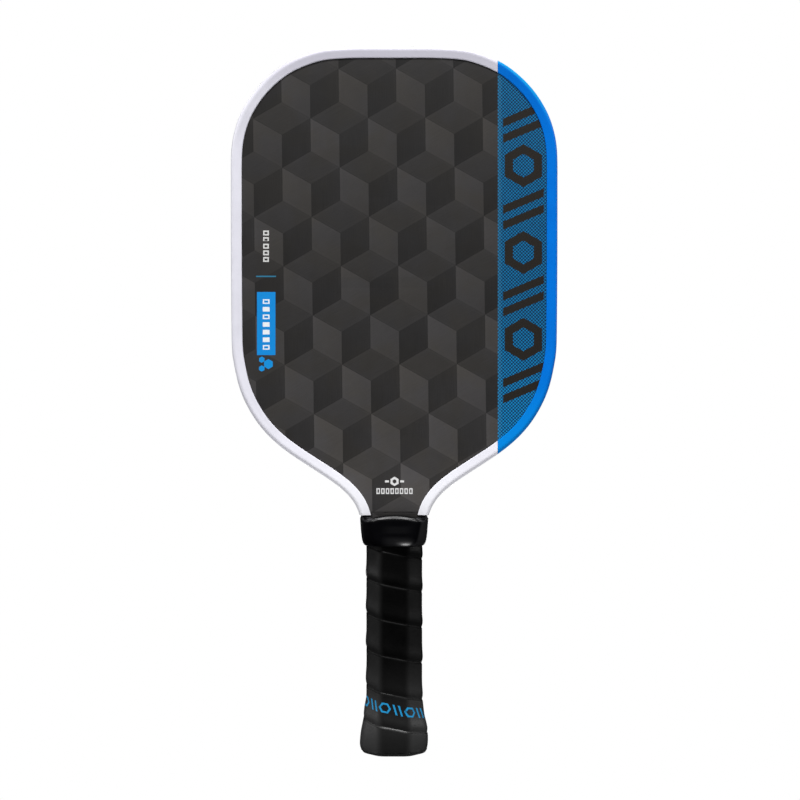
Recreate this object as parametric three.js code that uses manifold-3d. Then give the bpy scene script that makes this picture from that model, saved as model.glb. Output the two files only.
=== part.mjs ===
// Pickleball paddle, in millimetres. +Z runs up the handle to the top of the head, +X to the right, and the
// front striking face looks along -Y. The origin is the middle of the flat end of the butt cap.
//
// A polymer honeycomb panel with a foam edge wall is skinned front and rear with carbon sheet. A channel-section
// guard runs round the head. The panel's tang is cased by two handle shells, which carry a flared butt cap, and a
// cushion tape is wound over both as a helix. A finishing tape and a rubber neck collar close the top of the winding.
import * as THREE from "three";
import { mergeVertices } from "three/addons/utils/BufferGeometryUtils.js";
import Module from "manifold-3d";

const wasm = await Module();
wasm.setup();

// ---- shared dimensions -------------------------------------------------------------------------------------
const LENGTH = 416.7; // butt end to top of the guard
const WIDTH = 192.8; // across the guard
const GAP = 0.1; // between parts that are glued or pressed together
const FRONT = -1; // sides, as signs of y
const REAR = 1;

const CORE_HALF = 7.5; // half the thickness of the honeycomb
const PANEL_HALF = 8; // half the thickness of core and both skins
const SKIN_REBATE = 0.2; // the skin is this much thinner where other parts grip it
const GUARD_WALL = 1.6; // thickness of the guard's outer wall
const GUARD_LIP = 6.5; // how far each lip reaches in from the outside of the guard
const TANG_HALF = 10.4; // half the width of the panel's tang

const HANDLE_HALF_X = 14.8; // hard handle under the tape
const HANDLE_HALF_Y = 12.9;
const HANDLE_BEVEL = 7.4;
const CORNER_ROUND = 1.8; // how far each corner's rounding reaches along the flats
const BEVEL_GROWTH = 0.58; // share of any thickness on the flats that is added to the bevel
const ROUND_GROWTH = 0.3; // share of it that is added to the rounding
const SHELL_BOTTOM = 5.2;
const SHELL_TOP = 126.4;
const TAPE = 1.7; // thickness of the tape where it lies flat
const TAPE_BOTTOM = 1.9;
const TAPE_TOP = 126.6;

// ---- solids and meshes -------------------------------------------------------------------------------------
const WELD_DISTANCE = 1e-4;

function solid(geometry) {
  geometry.deleteAttribute("normal");
  geometry.deleteAttribute("uv");
  const welded = mergeVertices(geometry, WELD_DISTANCE);
  return new wasm.Manifold(
    new wasm.Mesh({
      numProp: 3,
      vertProperties: new Float32Array(welded.attributes.position.array),
      triVerts: new Uint32Array(welded.index.array),
    }),
  );
}

function geometryOf(manifold) {
  const mesh = manifold.getMesh();
  const geometry = new THREE.BufferGeometry();
  geometry.setAttribute("position", new THREE.BufferAttribute(new Float32Array(mesh.vertProperties), 3));
  geometry.setIndex(new THREE.BufferAttribute(new Uint32Array(mesh.triVerts), 1));
  return geometry;
}

// A solid from [x, y, z] points and a flat list of triangle corners, turned right side out if need be.
function solidFromFaces(points, faces) {
  let volume = 0;
  for (let i = 0; i < faces.length; i += 3) {
    const [first, second, third] = faces.slice(i, i + 3).map((n) => new THREE.Vector3(...points[n]));
    volume += first.dot(second.cross(third));
  }
  if (volume < 0)
    for (let i = 0; i < faces.length; i += 3)
      [faces[i + 1], faces[i + 2]] = [faces[i + 2], faces[i + 1]];
  const geometry = new THREE.BufferGeometry();
  geometry.setAttribute("position", new THREE.BufferAttribute(new Float32Array(points.flat()), 3));
  geometry.setIndex(faces);
  return solid(geometry);
}

const toVectors = (points) => points.map(([x, y]) => new THREE.Vector2(x, y));
const ordered = (range) => [...range].sort((low, high) => low - high);

function extrude(outline, depth, holes = []) {
  const shape = new THREE.Shape(toVectors(outline));
  for (const hole of holes) shape.holes.push(new THREE.Path(toVectors(hole)));
  return new THREE.ExtrudeGeometry(shape, { depth, bevelEnabled: false, curveSegments: 1 });
}

// A plate in the XZ plane, from an outline of [x, z] points and holes in the same form.
function plate(outline, yRange, holes) {
  const [yMin, yMax] = ordered(yRange);
  const geometry = extrude(outline, yMax - yMin, holes);
  const position = geometry.getAttribute("position");
  for (let i = 0; i < position.count; i++)
    position.setXYZ(i, position.getX(i), yMax - position.getZ(i), position.getY(i));
  return solid(geometry);
}

// A box from its range on each axis. The ends of a range may come in either order.
function box(...ranges) {
  const ends = ranges.map(ordered);
  const sizes = ends.map(([low, high]) => high - low);
  const middles = ends.map(([low, high]) => (low + high) / 2);
  return solid(new THREE.BoxGeometry(...sizes).translate(...middles));
}

// Rings of points that each have the same count, joined in turn. A closed loft joins the last ring to the first,
// and an open one is capped flat at both ends.
function loft(rings, closed = false) {
  const sides = rings[0].length;
  const last = rings.length - 1;
  const points = rings.flat();
  const faces = [];
  const at = (i, j) => (i % rings.length) * sides + (j % sides);
  for (let i = 0; i < (closed ? rings.length : last); i++)
    for (let j = 0; j < sides; j++) {
      faces.push(at(i, j), at(i, j + 1), at(i + 1, j + 1));
      faces.push(at(i, j), at(i + 1, j + 1), at(i + 1, j));
    }
  if (!closed)
    for (const ring of [0, last]) {
      const middle = [0, 0, 0];
      for (const point of rings[ring]) point.forEach((value, axis) => (middle[axis] += value / sides));
      const centre = points.push(middle) - 1;
      for (let j = 0; j < sides; j++) {
        if (ring === 0) faces.push(centre, at(ring, j + 1), at(ring, j));
        else faces.push(centre, at(ring, j), at(ring, j + 1));
      }
    }
  return solidFromFaces(points, faces);
}

// A sleeve between an inner and an outer list of rings, both from bottom to top.
const sleeve = (innerRings, outerRings) => loft([...innerRings, ...outerRings.slice().reverse()], true);

// An octagon with rounded corners, as [x, y] points, anticlockwise, always 8 * 4 = 32 of them.
const CORNER_STEPS = 3;
const RING_POINTS = 8 * (CORNER_STEPS + 1);
const MAX_ROUND_SHARE = 0.45; // of either edge at a corner
function octagon(halfX, halfY, bevel, round) {
  const flatX = halfX - bevel;
  const flatY = halfY - bevel;
  const corners = toVectors([
    [halfX, -flatY], [halfX, flatY], [flatX, halfY], [-flatX, halfY],
    [-halfX, flatY], [-halfX, -flatY], [-flatX, -halfY], [flatX, -halfY],
  ]);
  return corners.flatMap((corner, i) => {
    const back = corners[(i + 7) % 8].clone().sub(corner);
    const ahead = corners[(i + 1) % 8].clone().sub(corner);
    const reach = Math.min(round, back.length() * MAX_ROUND_SHARE, ahead.length() * MAX_ROUND_SHARE);
    const curve = new THREE.QuadraticBezierCurve(
      corner.clone().addScaledVector(back.normalize(), reach),
      corner,
      corner.clone().addScaledVector(ahead.normalize(), reach),
    );
    return curve.getPoints(CORNER_STEPS).map(({ x, y }) => [x, y]);
  });
}

// The hard handle's octagon, grown outwards, as a level ring at height z.
function handleRing(grow, z, round = CORNER_ROUND) {
  const bevel = HANDLE_BEVEL + grow * BEVEL_GROWTH;
  return octagon(HANDLE_HALF_X + grow, HANDLE_HALF_Y + grow, bevel, round + grow * ROUND_GROWTH)
    .map(([x, y]) => [x, y, z]);
}

// ---- the head's outline ------------------------------------------------------------------------------------
// Right half, from the middle of the top edge down to the neck.
// Columns: x, z, direction of travel in x and in z, steps along the curve to the next station.
// Steps are close on the tight bends and wide on the straight sides.
const HEAD_STATIONS = [
  [0, LENGTH, 1, 0, 3],
  [38, LENGTH - 0.8, 1, -0.09, 3],
  [55.5, LENGTH - 5.35, 1, -0.4, 3],
  [68.4, LENGTH - 12.3, 1, -0.74, 2],
  [77.6, LENGTH - 20.25, 1, -1.02, 2],
  [86.5, LENGTH - 31.5, 1, -1.6, 3],
  [93.2, LENGTH - 45.7, 1, -3.2, 3],
  [96.2, LENGTH - 62.2, 1, -20, 2],
  [WIDTH / 2, 338, 0, -1, 3],
  [96, 247, -0.012, -1, 3],
  [95, 232.1, -0.17, -0.985, 4],
  [88.5, 208.5, -0.42, -0.91, 5],
  [71.6, 184.9, -0.735, -0.68, 4],
  [46.8, 167.1, -0.838, -0.546, 4],
  [30.2, 155.3, -0.75, -0.66, 5],
  [21.4, 143.5, -0.38, -0.925, 2],
  [19.9, 138.2, -0.22, -0.975, 1],
  [18.9, 131, -0.08, -0.997],
];
const TANGENT_REACH = 0.345; // Bezier handles, as a share of the distance between stations

function stationCurve([x0, z0, alongX0, alongZ0], [x1, z1, alongX1, alongZ1]) {
  const start = new THREE.Vector2(x0, z0);
  const end = new THREE.Vector2(x1, z1);
  const reach = start.distanceTo(end) * TANGENT_REACH;
  return new THREE.CubicBezierCurve(
    start,
    start.clone().addScaledVector(new THREE.Vector2(alongX0, alongZ0).normalize(), reach),
    end.clone().addScaledVector(new THREE.Vector2(alongX1, alongZ1).normalize(), -reach),
    end,
  );
}

// Points with normals that point into the head, from the right tail, over the top, to the left tail.
function buildHeadPath() {
  const rightHalf = [];
  const spans = HEAD_STATIONS.length - 1;
  for (let i = 0; i < spans; i++) {
    const curve = stationCurve(HEAD_STATIONS[i], HEAD_STATIONS[i + 1]);
    const steps = HEAD_STATIONS[i][4];
    const pointCount = i === spans - 1 ? steps + 1 : steps; // the last span keeps its end point
    for (let k = 0; k < pointCount; k++) {
      const point = curve.getPointAt(k / steps);
      const tangent = curve.getTangentAt(k / steps);
      rightHalf.push({ x: point.x, z: point.y, normalX: tangent.y, normalZ: -tangent.x });
    }
  }
  const leftHalf = rightHalf.slice(1).map((point) => ({ ...point, x: -point.x, normalX: -point.normalX }));
  return [...rightHalf.reverse(), ...leftHalf];
}
const headPath = buildHeadPath();

const insetHead = (distance) =>
  headPath.map(({ x, z, normalX, normalZ }) => [x + normalX * distance, z + normalZ * distance]);

// Sweeps a section of [inset, y] points round the head and caps it at both tails. The section runs clockwise
// with the inset to the right and y up, which sets the way the caps face.
function sweepHead(section) {
  const count = section.length;
  const points = headPath.flatMap(({ x, z, normalX, normalZ }) =>
    section.map(([inset, y]) => [x + normalX * inset, y, z + normalZ * inset]),
  );
  const faces = [];
  for (let i = 0; i + 1 < headPath.length; i++)
    for (let j = 0; j < count; j++) {
      const here = i * count + j;
      const beside = i * count + ((j + 1) % count);
      faces.push(here, beside, beside + count);
      faces.push(here, beside + count, here + count);
    }
  const last = (headPath.length - 1) * count;
  for (const [a, b, c] of THREE.ShapeUtils.triangulateShape(toVectors(section), [])) {
    faces.push(a, b, c);
    faces.push(last + a, last + c, last + b);
  }
  return solidFromFaces(points, faces);
}

// A box larger than the head, for cutting it off below one height and to the left of one plane.
const headRegion = ({ bottom = 100, left = -120 }) => box([left, 120], [-20, 20], [bottom, LENGTH + 5]);

// ---- the panel: core, foam wall and skins ------------------------------------------------------------------
const PANEL_INSET = GUARD_WALL + GAP;
const TANG_BOTTOM = 6;
const TANG_TOP = 127;
// The guard's outline less its wall, down to the neck, then in to the tang.
const panelOutline = [
  ...insetHead(PANEL_INSET),
  [-TANG_HALF, TANG_TOP],
  [-TANG_HALF, TANG_BOTTOM],
  [TANG_HALF, TANG_BOTTOM],
  [TANG_HALF, TANG_TOP],
];

// The foam wall fills the panel's edge round the head and stops above the neck.
const FOAM_WIDTH = 9;
const FOAM_END_Z = 164;
const FOAM_INNER = PANEL_INSET + FOAM_WIDTH; // inset of its inner face

function edgeWall(fromInset, toInset, halfDepth, bottom) {
  const section = [
    [fromInset, -halfDepth],
    [fromInset, halfDepth],
    [toInset, halfDepth],
    [toInset, -halfDepth],
  ];
  return sweepHead(section).intersect(headRegion({ bottom }));
}
const foam = () => edgeWall(PANEL_INSET, FOAM_INNER, CORE_HALF, FOAM_END_Z);

// The room cut for the foam runs past the core's outer edge and both its faces.
const foamRoom = () => edgeWall(PANEL_INSET - 3, FOAM_INNER + GAP, CORE_HALF + 2, FOAM_END_Z - GAP);

// Hexagonal cells, open at both skins, wherever a whole cell fits inside the foam wall.
const CELL_PITCH = 12; // across flats and one wall
const CELL_WALL = 0.8;
const CELL_RADIUS = (CELL_PITCH - CELL_WALL) / Math.sqrt(3);
const CELL_ROW_PITCH = (CELL_PITCH * Math.sqrt(3)) / 2;
const CELL_CENTRE_Z = 285; // height of the middle row
const CELL_ROWS = 20; // tried above and below the middle row
const CELL_COLUMNS = 12; // tried to each side of the middle
const CELL_MARGIN = 1.2; // solid core left inside the foam wall
const CELL_FIELD_BOTTOM = 168;

// Whether a point lies inside an outline, by counting crossings.
function isInside([x, z], outline) {
  let inside = false;
  outline.forEach(([endX, endZ], i) => {
    const [startX, startZ] = outline.at(i - 1);
    const straddles = endZ > z !== startZ > z;
    if (straddles && x < ((startX - endX) * (z - endZ)) / (startZ - endZ) + endX) inside = !inside;
  });
  return inside;
}

function honeycombCells() {
  const field = insetHead(FOAM_INNER + CELL_MARGIN).filter(([, z]) => z > CELL_FIELD_BOTTOM);
  const cells = [];
  for (let row = -CELL_ROWS; row <= CELL_ROWS; row++)
    for (let column = -CELL_COLUMNS; column <= CELL_COLUMNS; column++) {
      const centreX = (column + (row % 2 ? 0.5 : 0)) * CELL_PITCH;
      const centreZ = CELL_CENTRE_Z + row * CELL_ROW_PITCH;
      const cell = [];
      for (let k = 0; k < 6; k++) {
        const angle = Math.PI / 6 + (k * Math.PI) / 3;
        cell.push([centreX + CELL_RADIUS * Math.cos(angle), centreZ + CELL_RADIUS * Math.sin(angle)]);
      }
      if (cell.every((corner) => isInside(corner, field))) cells.push(cell);
    }
  return cells;
}
const core = () => plate(panelOutline, [-CORE_HALF, CORE_HALF], honeycombCells()).subtract(foamRoom());

// Each skin is one sheet over the whole panel and tang, a little thinner where the guard, the collar and the
// handle shells grip it, so that the striking face stands clear inside them.
const LIP_CLEAR = 0.15; // between the guard's lips and the raised face
const FACE_BOTTOM = 141.8;
const FACE_OVERLAP = 0.05; // how far the raised face is sunk in the sheet, to join them
const GRIPPED_HALF = PANEL_HALF - SKIN_REBATE;
function skin(side) {
  const faceOutline = insetHead(GUARD_LIP + LIP_CLEAR).filter(([, z]) => z > FACE_BOTTOM);
  const sheet = plate(panelOutline, [side * CORE_HALF, side * GRIPPED_HALF]);
  return sheet.add(plate(faceOutline, [side * (GRIPPED_HALF - FACE_OVERLAP), side * PANEL_HALF]));
}

// ---- the edge guard ----------------------------------------------------------------------------------------
const GUARD_HALF = 9.3; // half the guard's depth, over both lips
const GUARD_ROUND = 2.3; // radius of the guard's outer corners
const GUARD_ROUND_STEPS = 4;
const GUARD_END_Z = 140.6; // the guard's tails stop above the collar
const LIP_SEAT = PANEL_HALF + 0.02; // the lips' inner faces
const COLOUR_SPLIT_X = 61; // the guard is white to the left of this plane and blue to the right
const SPLIT_GAP = 0.1;

// Channel section: a wall, two rounded outer corners and two lips that thin towards their inner edges.
function guardSection() {
  const rearHalf = [];
  for (let k = 0; k <= GUARD_ROUND_STEPS; k++) {
    const angle = (k / GUARD_ROUND_STEPS) * (Math.PI / 2);
    rearHalf.push([
      GUARD_ROUND * (1 - Math.cos(angle)),
      GUARD_HALF - GUARD_ROUND + GUARD_ROUND * Math.sin(angle),
    ]);
  }
  rearHalf.push([GUARD_LIP - 0.5, GUARD_HALF - 0.22], [GUARD_LIP, GUARD_HALF - 0.6], [GUARD_LIP, LIP_SEAT]);
  const frontHalf = rearHalf.map(([inset, y]) => [inset, -y]).reverse();
  return [...frontHalf, ...rearHalf, [GUARD_WALL, LIP_SEAT], [GUARD_WALL, -LIP_SEAT]];
}

function guardPieces() {
  const guard = sweepHead(guardSection()).intersect(headRegion({ bottom: GUARD_END_Z }));
  const blue = guard.intersect(headRegion({ left: COLOUR_SPLIT_X + SPLIT_GAP / 2 }));
  const [white, lowerWhite] = guard
    .subtract(headRegion({ left: COLOUR_SPLIT_X - SPLIT_GAP / 2 }))
    .decompose()
    .sort((one, other) => other.volume() - one.volume());
  return { white, lowerWhite, blue };
}

// ---- the handle shells -------------------------------------------------------------------------------------
// Two moulded half shells meet on the y = 0 plane, with a pocket between them for the tang.
const SHELL_JOIN = 0.05; // from each shell's edge to the y = 0 plane
function shell(side) {
  const pocketX = TANG_HALF + GAP;
  const pocketY = GRIPPED_HALF + GAP;
  const section = [
    [HANDLE_HALF_X, SHELL_JOIN],
    ...octagon(HANDLE_HALF_X, HANDLE_HALF_Y, HANDLE_BEVEL, CORNER_ROUND).filter(([, y]) => y > 0),
    [-HANDLE_HALF_X, SHELL_JOIN],
    [-pocketX, SHELL_JOIN],
    [-pocketX, pocketY],
    [pocketX, pocketY],
    [pocketX, SHELL_JOIN],
  ].map(([x, y]) => [x, side * y]);
  return solid(extrude(section, SHELL_TOP - SHELL_BOTTOM).translate(0, 0, SHELL_BOTTOM));
}

// ---- the butt cap ------------------------------------------------------------------------------------------
// The cap's flare, downwards. Columns: z, growth of the hard octagon.
const FLARE = [
  [27, 0.75], [21, 1.5], [15, 2.6], [11, 3.3], [8, 3.5], [5, 3.4], [2.6, 2.9],
];
const FLARE_START = 34; // the tape begins to swell here, above the cap
const CAP_TOP = FLARE[0][0];
const [FLARE_FOOT, FOOT_GROWTH] = FLARE.at(-1);
const CAP_FLOOR = SHELL_BOTTOM - 0.2; // top of the cap's closed bottom
const CAP_RIM = TAPE_BOTTOM - 0.1; // top of the cap's bottom flange, which the tape ends on
const FLANGE_CORNER = 2.2;
// The flange's outside, downwards. Columns: z, growth of the hard octagon.
const FLANGE = [[CAP_RIM, 4.3], [1.2, 4.15], [0.4, 3.5], [0, 2.6]];

// Growth of the flare at any height. Below its foot it stays the same.
function flareAt(height) {
  if (height >= FLARE_START) return 0;
  const z = Math.max(height, FLARE_FOOT);
  const stations = [[FLARE_START, 0], ...FLARE];
  const below = stations.findIndex(([stationZ]) => z >= stationZ);
  const [upperZ, upperGrowth] = stations[below - 1];
  const [lowerZ, lowerGrowth] = stations[below];
  return upperGrowth + ((upperZ - z) / (upperZ - lowerZ)) * (lowerGrowth - upperGrowth);
}

// A flared cup, closed at the bottom, over the lower end of the shells.
const buttCap = () =>
  loft([
    handleRing(GAP, CAP_FLOOR),
    handleRing(GAP, CAP_TOP),
    ...FLARE.map(([z, grow]) => handleRing(grow, z)),
    handleRing(FOOT_GROWTH, CAP_RIM + 0.02),
    ...FLANGE.map(([z, grow]) => handleRing(grow, z, FLANGE_CORNER)),
  ]);

// ---- the grip tape -----------------------------------------------------------------------------------------
const TAPE_PITCH = 20.5; // rise of the helix in one turn
const TAPE_STEP = 0.5; // extra height of a turn's lower edge, where it laps over the turn below
const LAP_TOP = 111; // above this height the tape has no laps
const SEAM_Z = 16.3; // height of a seam at the middle of the front; the others are a whole pitch apart
// Lines along one turn of tape. Columns: share of the pitch up from its lower edge, height above the flat tape.
const TAPE_LINES = [[0, -0.35], [0.015, TAPE_STEP], [0.15, TAPE_STEP * 0.7], [0.34, 0.05], [0.94, 0]];

// The share of the way round the handle at each of a ring's points, ending with 1 back at the first.
function sharesRound() {
  const ring = handleRing(TAPE, 0);
  const distances = [0];
  ring.forEach(([x, y], j) => {
    const [nextX, nextY] = ring[(j + 1) % RING_POINTS];
    distances.push(distances[j] + Math.hypot(nextX - x, nextY - y));
  });
  return distances.map((distance) => distance / distances[RING_POINTS]);
}

// A plug with the tape's helical surface. The seams climb evenly with distance round the handle.
function tapePlug() {
  const lines = TAPE_LINES.length;
  const shares = sharesRound();
  const frontShare = (shares[27] + shares[28]) / 2; // these points end the octagon's front flat
  const start = SEAM_Z - (frontShare + 1) * TAPE_PITCH;
  const turns = Math.ceil((TAPE_TOP + 20 - start) / TAPE_PITCH) + 1;
  const steps = turns * RING_POINTS;
  const points = [];
  const faces = [];
  // One turn more than the faces need, for the upper edge of the last turn.
  for (let i = 0; i <= steps + RING_POINTS; i++)
    for (const [pitchShare, lift] of TAPE_LINES) {
      const j = i % RING_POINTS;
      const z = start + (Math.floor(i / RING_POINTS) + shares[j] + pitchShare) * TAPE_PITCH;
      const [x, y] = handleRing(flareAt(z) + TAPE + (z > LAP_TOP ? 0 : lift), z)[j];
      points.push([-x, y, z]); // mirrored, so that seams fall to the right across the front
    }
  // The upper edge of a turn is the first line of the next one.
  const at = (i, k) => (k === lines ? (i + RING_POINTS) * lines : i * lines + k);
  for (let i = 0; i < steps; i++)
    for (let k = 0; k < lines; k++) {
      faces.push(at(i, k), at(i + 1, k), at(i + 1, k + 1));
      faces.push(at(i, k), at(i + 1, k + 1), at(i, k + 1));
    }
  const bottom = points.push([0, 0, start - 10]) - 1;
  const top = points.push([0, 0, start + (turns + 1) * TAPE_PITCH + 10]) - 1;
  for (let i = 0; i < RING_POINTS; i++) {
    const lastTurn = steps - RING_POINTS + i;
    faces.push(bottom, at(i + 1, 0), at(i, 0));
    faces.push(top, at(lastTurn, lines), at(lastTurn + 1, lines));
  }
  for (let k = 0; k < lines; k++) {
    faces.push(bottom, at(0, k), at(0, k + 1));
    faces.push(top, at(steps, k + 1), at(steps, k));
  }
  return solidFromFaces(points, faces);
}

// The plug is trimmed level at both ends, and the hard handle and its cap are taken out of its middle.
function gripTape() {
  const inside = loft([
    handleRing(GAP, TAPE_TOP + 5),
    handleRing(GAP, 32),
    ...FLARE.map(([z, grow]) => handleRing(grow + GAP, z)),
    handleRing(FOOT_GROWTH + GAP, TAPE_BOTTOM - 3),
  ]);
  return tapePlug()
    .intersect(box([-60, 60], [-60, 60], [TAPE_BOTTOM, TAPE_TOP]))
    .subtract(inside);
}

// ---- finishing tape and neck collar ------------------------------------------------------------------------
const FINISH_Z = [123.4, 127.5]; // bottom and top
const FINISH_GAP = 0.08;
const FINISH_THICKNESS = 0.25;
function finishingTape() {
  const rings = (grow) => FINISH_Z.map((z) => handleRing(grow, z));
  return sleeve(rings(TAPE + FINISH_GAP), rings(TAPE + FINISH_GAP + FINISH_THICKNESS));
}

// The collar grips the neck of the panel at its top and the end of the winding at its foot.
// Columns: half width in x, half width in y, bevel, rounding, z, rise of the edge.
const COLLAR_INNER = [
  [17.0, 15.1, 7.9, 2.4, 122.8, 0],
  [17.0, 15.1, 7.9, 2.4, 127.7, 0],
  [17.5, 12.9, 4.4, 2.0, 131, 0],
  [18.95, 9.2, 0.9, 0.4, 136.2, 0],
  [18.95, 8.0, 0.6, 0.3, 137.8, 2.6],
];
const COLLAR_OUTER = [
  [17.4, 15.5, 6.6, 2.5, 122.8, 0],
  [18.6, 16.2, 6.1, 2.8, 124.6, 0],
  [19.3, 16.1, 5.6, 2.8, 128, 0],
  [19.8, 15.8, 5.1, 2.6, 133, 0.4],
  [20.1, 15.3, 4.7, 2.4, 136.6, 1.4],
  [19.7, 14.2, 4.2, 2.2, 137.8, 2.6],
];
const RISE_HALF_X = 15.5; // the rise on each face dies away at this distance from the middle
const RISE_FULL_Y = 0.9; // share of the half width in y beyond which the face's rise is full
const SIDE_RISE = 0.8; // share of the rise on the left and right sides
const SIDE_DEPTH = 1; // points this close to the widest x count as on a side

// The ring rises in the middle of each face, and on both sides.
function collarRing([halfX, halfY, bevel, round, z, rise]) {
  return octagon(halfX, halfY, bevel, round).map(([x, y]) => {
    const across = Math.max(0, 1 - (x / RISE_HALF_X) ** 2);
    const face = Math.min(1, Math.abs(y) / (halfY * RISE_FULL_Y));
    const side = Math.abs(x) > halfX - SIDE_DEPTH ? SIDE_RISE : 0;
    return [x, y, z + rise * (across * face + side)];
  });
}
const neckCollar = () => sleeve(COLLAR_INNER.map(collarRing), COLLAR_OUTER.map(collarRing));

// ---- fasteners under the tape ------------------------------------------------------------------------------
// Wire staples hold the cap's skirt to the shells, and one more holds the start of the tape.
const WIRE = 0.8; // square wire
const CROWN = 10; // width over both legs
const LEG = 4.2; // depth from the outside of the crown
const CROWN_SINK = 0.15; // how far the crown lies below the cap's surface, so that the tape lies flat
const ROOM_LIFT = 0.55; // how far a staple's room reaches out past its crown
const STAPLES = {
  front: { z: 18, side: FRONT },
  rear: { z: 18, side: REAR },
  gripStart: { z: 11.5, side: REAR },
};

// A staple. With a lift and a clearance, it is the room that the staple needs.
function staple({ z, side }, lift = 0, clearance = 0) {
  const outside = HANDLE_HALF_Y + flareAt(z) - CROWN_SINK + lift;
  const yRange = (depth) => [side * outside, side * (outside - lift - depth - clearance)];
  const halfWire = WIRE / 2 + clearance;
  const zRange = [z - halfWire, z + halfWire];
  const reach = CROWN / 2 + clearance;
  const leg = (end) => box([end * reach, end * (reach - 2 * halfWire)], yRange(LEG), zRange);
  return box([-reach, reach], yRange(WIRE), zRange).add(leg(1)).add(leg(-1));
}

const stapleRooms = Object.values(STAPLES).map((place) => staple(place, ROOM_LIFT, GAP));
const cutForStaples = (shape) => stapleRooms.reduce((rest, room) => rest.subtract(room), shape);

// ---- materials ---------------------------------------------------------------------------------------------
const finish = ({ color, roughness, metalness = 0 }) =>
  new THREE.MeshStandardMaterial({ color, roughness, metalness });
const carbon = finish({ color: 0x3a3938, roughness: 0.55 });
const whitePlastic = finish({ color: 0xe2e2ec, roughness: 0.45 });
const bluePlastic = finish({ color: 0x0076da, roughness: 0.4 });
const honeycombPolymer = finish({ color: 0xd8dbe0, roughness: 0.6 });
const edgeFoam = finish({ color: 0xc9c4b0, roughness: 0.9 });
const shellPlastic = finish({ color: 0x2b2b2c, roughness: 0.7 });
const capPlastic = finish({ color: 0x161616, roughness: 0.6 });
const steel = finish({ color: 0xb4b6b8, roughness: 0.35, metalness: 1 });
const blackTape = finish({ color: 0x141414, roughness: 0.55 });
const rubber = finish({ color: 0x0c0c0d, roughness: 0.35 });

// ---- the assembly ------------------------------------------------------------------------------------------
const paddle = new THREE.Group();
const panel = new THREE.Group();
const edge = new THREE.Group();
const handle = new THREE.Group();
paddle.add(panel, edge, handle);

function add(group, name, shape, material) {
  const mesh = new THREE.Mesh(geometryOf(shape), material);
  mesh.name = name;
  group.add(mesh);
}

add(panel, "honeycomb_core", core(), honeycombPolymer);
add(panel, "perimeter_foam", foam(), edgeFoam);
add(panel, "front_face_sheet", skin(FRONT), carbon);
add(panel, "rear_face_sheet", skin(REAR), carbon);

const guard = guardPieces();
add(edge, "edge_guard_white", guard.white, whitePlastic);
add(edge, "edge_guard_lower_white", guard.lowerWhite, whitePlastic);
add(edge, "edge_guard_blue", guard.blue, bluePlastic);

add(handle, "handle_shell_front", cutForStaples(shell(FRONT)), shellPlastic);
add(handle, "handle_shell_rear", cutForStaples(shell(REAR)), shellPlastic);
add(handle, "butt_cap", cutForStaples(buttCap()), capPlastic);
add(handle, "butt_cap_staple_front", staple(STAPLES.front), steel);
add(handle, "butt_cap_staple_rear", staple(STAPLES.rear), steel);
add(handle, "grip_start_staple", staple(STAPLES.gripStart), steel);
add(handle, "grip_tape", gripTape(), blackTape);
add(handle, "finishing_tape", finishingTape(), blackTape);
add(handle, "neck_collar", neckCollar(), rubber);

export default paddle;
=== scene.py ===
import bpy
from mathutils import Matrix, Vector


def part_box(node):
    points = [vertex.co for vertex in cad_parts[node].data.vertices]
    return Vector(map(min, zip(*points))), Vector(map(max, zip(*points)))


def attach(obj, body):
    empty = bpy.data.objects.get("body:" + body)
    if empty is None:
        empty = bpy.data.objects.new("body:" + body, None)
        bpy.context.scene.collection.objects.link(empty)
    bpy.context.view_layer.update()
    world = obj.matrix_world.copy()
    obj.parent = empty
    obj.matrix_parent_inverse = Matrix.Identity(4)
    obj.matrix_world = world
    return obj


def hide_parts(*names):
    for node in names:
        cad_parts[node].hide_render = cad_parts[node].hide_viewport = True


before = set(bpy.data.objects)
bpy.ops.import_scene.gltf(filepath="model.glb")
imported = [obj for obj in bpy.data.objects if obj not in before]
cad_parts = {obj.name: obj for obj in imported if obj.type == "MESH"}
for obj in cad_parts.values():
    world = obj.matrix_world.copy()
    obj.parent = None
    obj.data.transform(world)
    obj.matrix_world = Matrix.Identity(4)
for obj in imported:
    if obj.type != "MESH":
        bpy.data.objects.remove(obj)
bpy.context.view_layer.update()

import math
import random
from types import SimpleNamespace

import bmesh
import bpy
from mathutils import Vector, noise

MM = 0.001
random.seed(7)  # nothing below draws from it

# --------------------------------------------------------------------------------------------
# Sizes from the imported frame
# --------------------------------------------------------------------------------------------
face_lo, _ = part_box("front_face_sheet")
blue_lo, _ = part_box("edge_guard_blue")
tape_lo, tape_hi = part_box("grip_tape")
guard_lo, guard_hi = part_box("edge_guard_white")
TOP = guard_hi.z / MM
HALF_W = -guard_lo.x / MM
FACE_Y = -face_lo.y / MM  # half the panel's thickness
GUARD_Y = -guard_lo.y / MM  # half the guard's depth
JOINT_HALF_GAP = 0.05
JOINT_X = blue_lo.x / MM - JOINT_HALF_GAP  # middle of the joint between white and blue guard
TAIL_Z = guard_lo.z / MM
TAPE_LO = tape_lo.z / MM
TAPE_HI = tape_hi.z / MM


# --------------------------------------------------------------------------------------------
# Small shader language: a Val wraps a node socket, and arithmetic on it makes Math nodes
# --------------------------------------------------------------------------------------------
def plug(tree, value, socket):
    """Links a Val or an output socket to an input, or sets the input to a plain value."""
    if isinstance(value, Val):
        value = value.socket
    if isinstance(value, bpy.types.NodeSocket):
        tree.links.new(value, socket)
    else:
        socket.default_value = value


def add_node(tree, kind, **inputs):
    node = tree.nodes.new(kind)
    for name, value in inputs.items():
        plug(tree, value, node.inputs[name])
    return node


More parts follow.
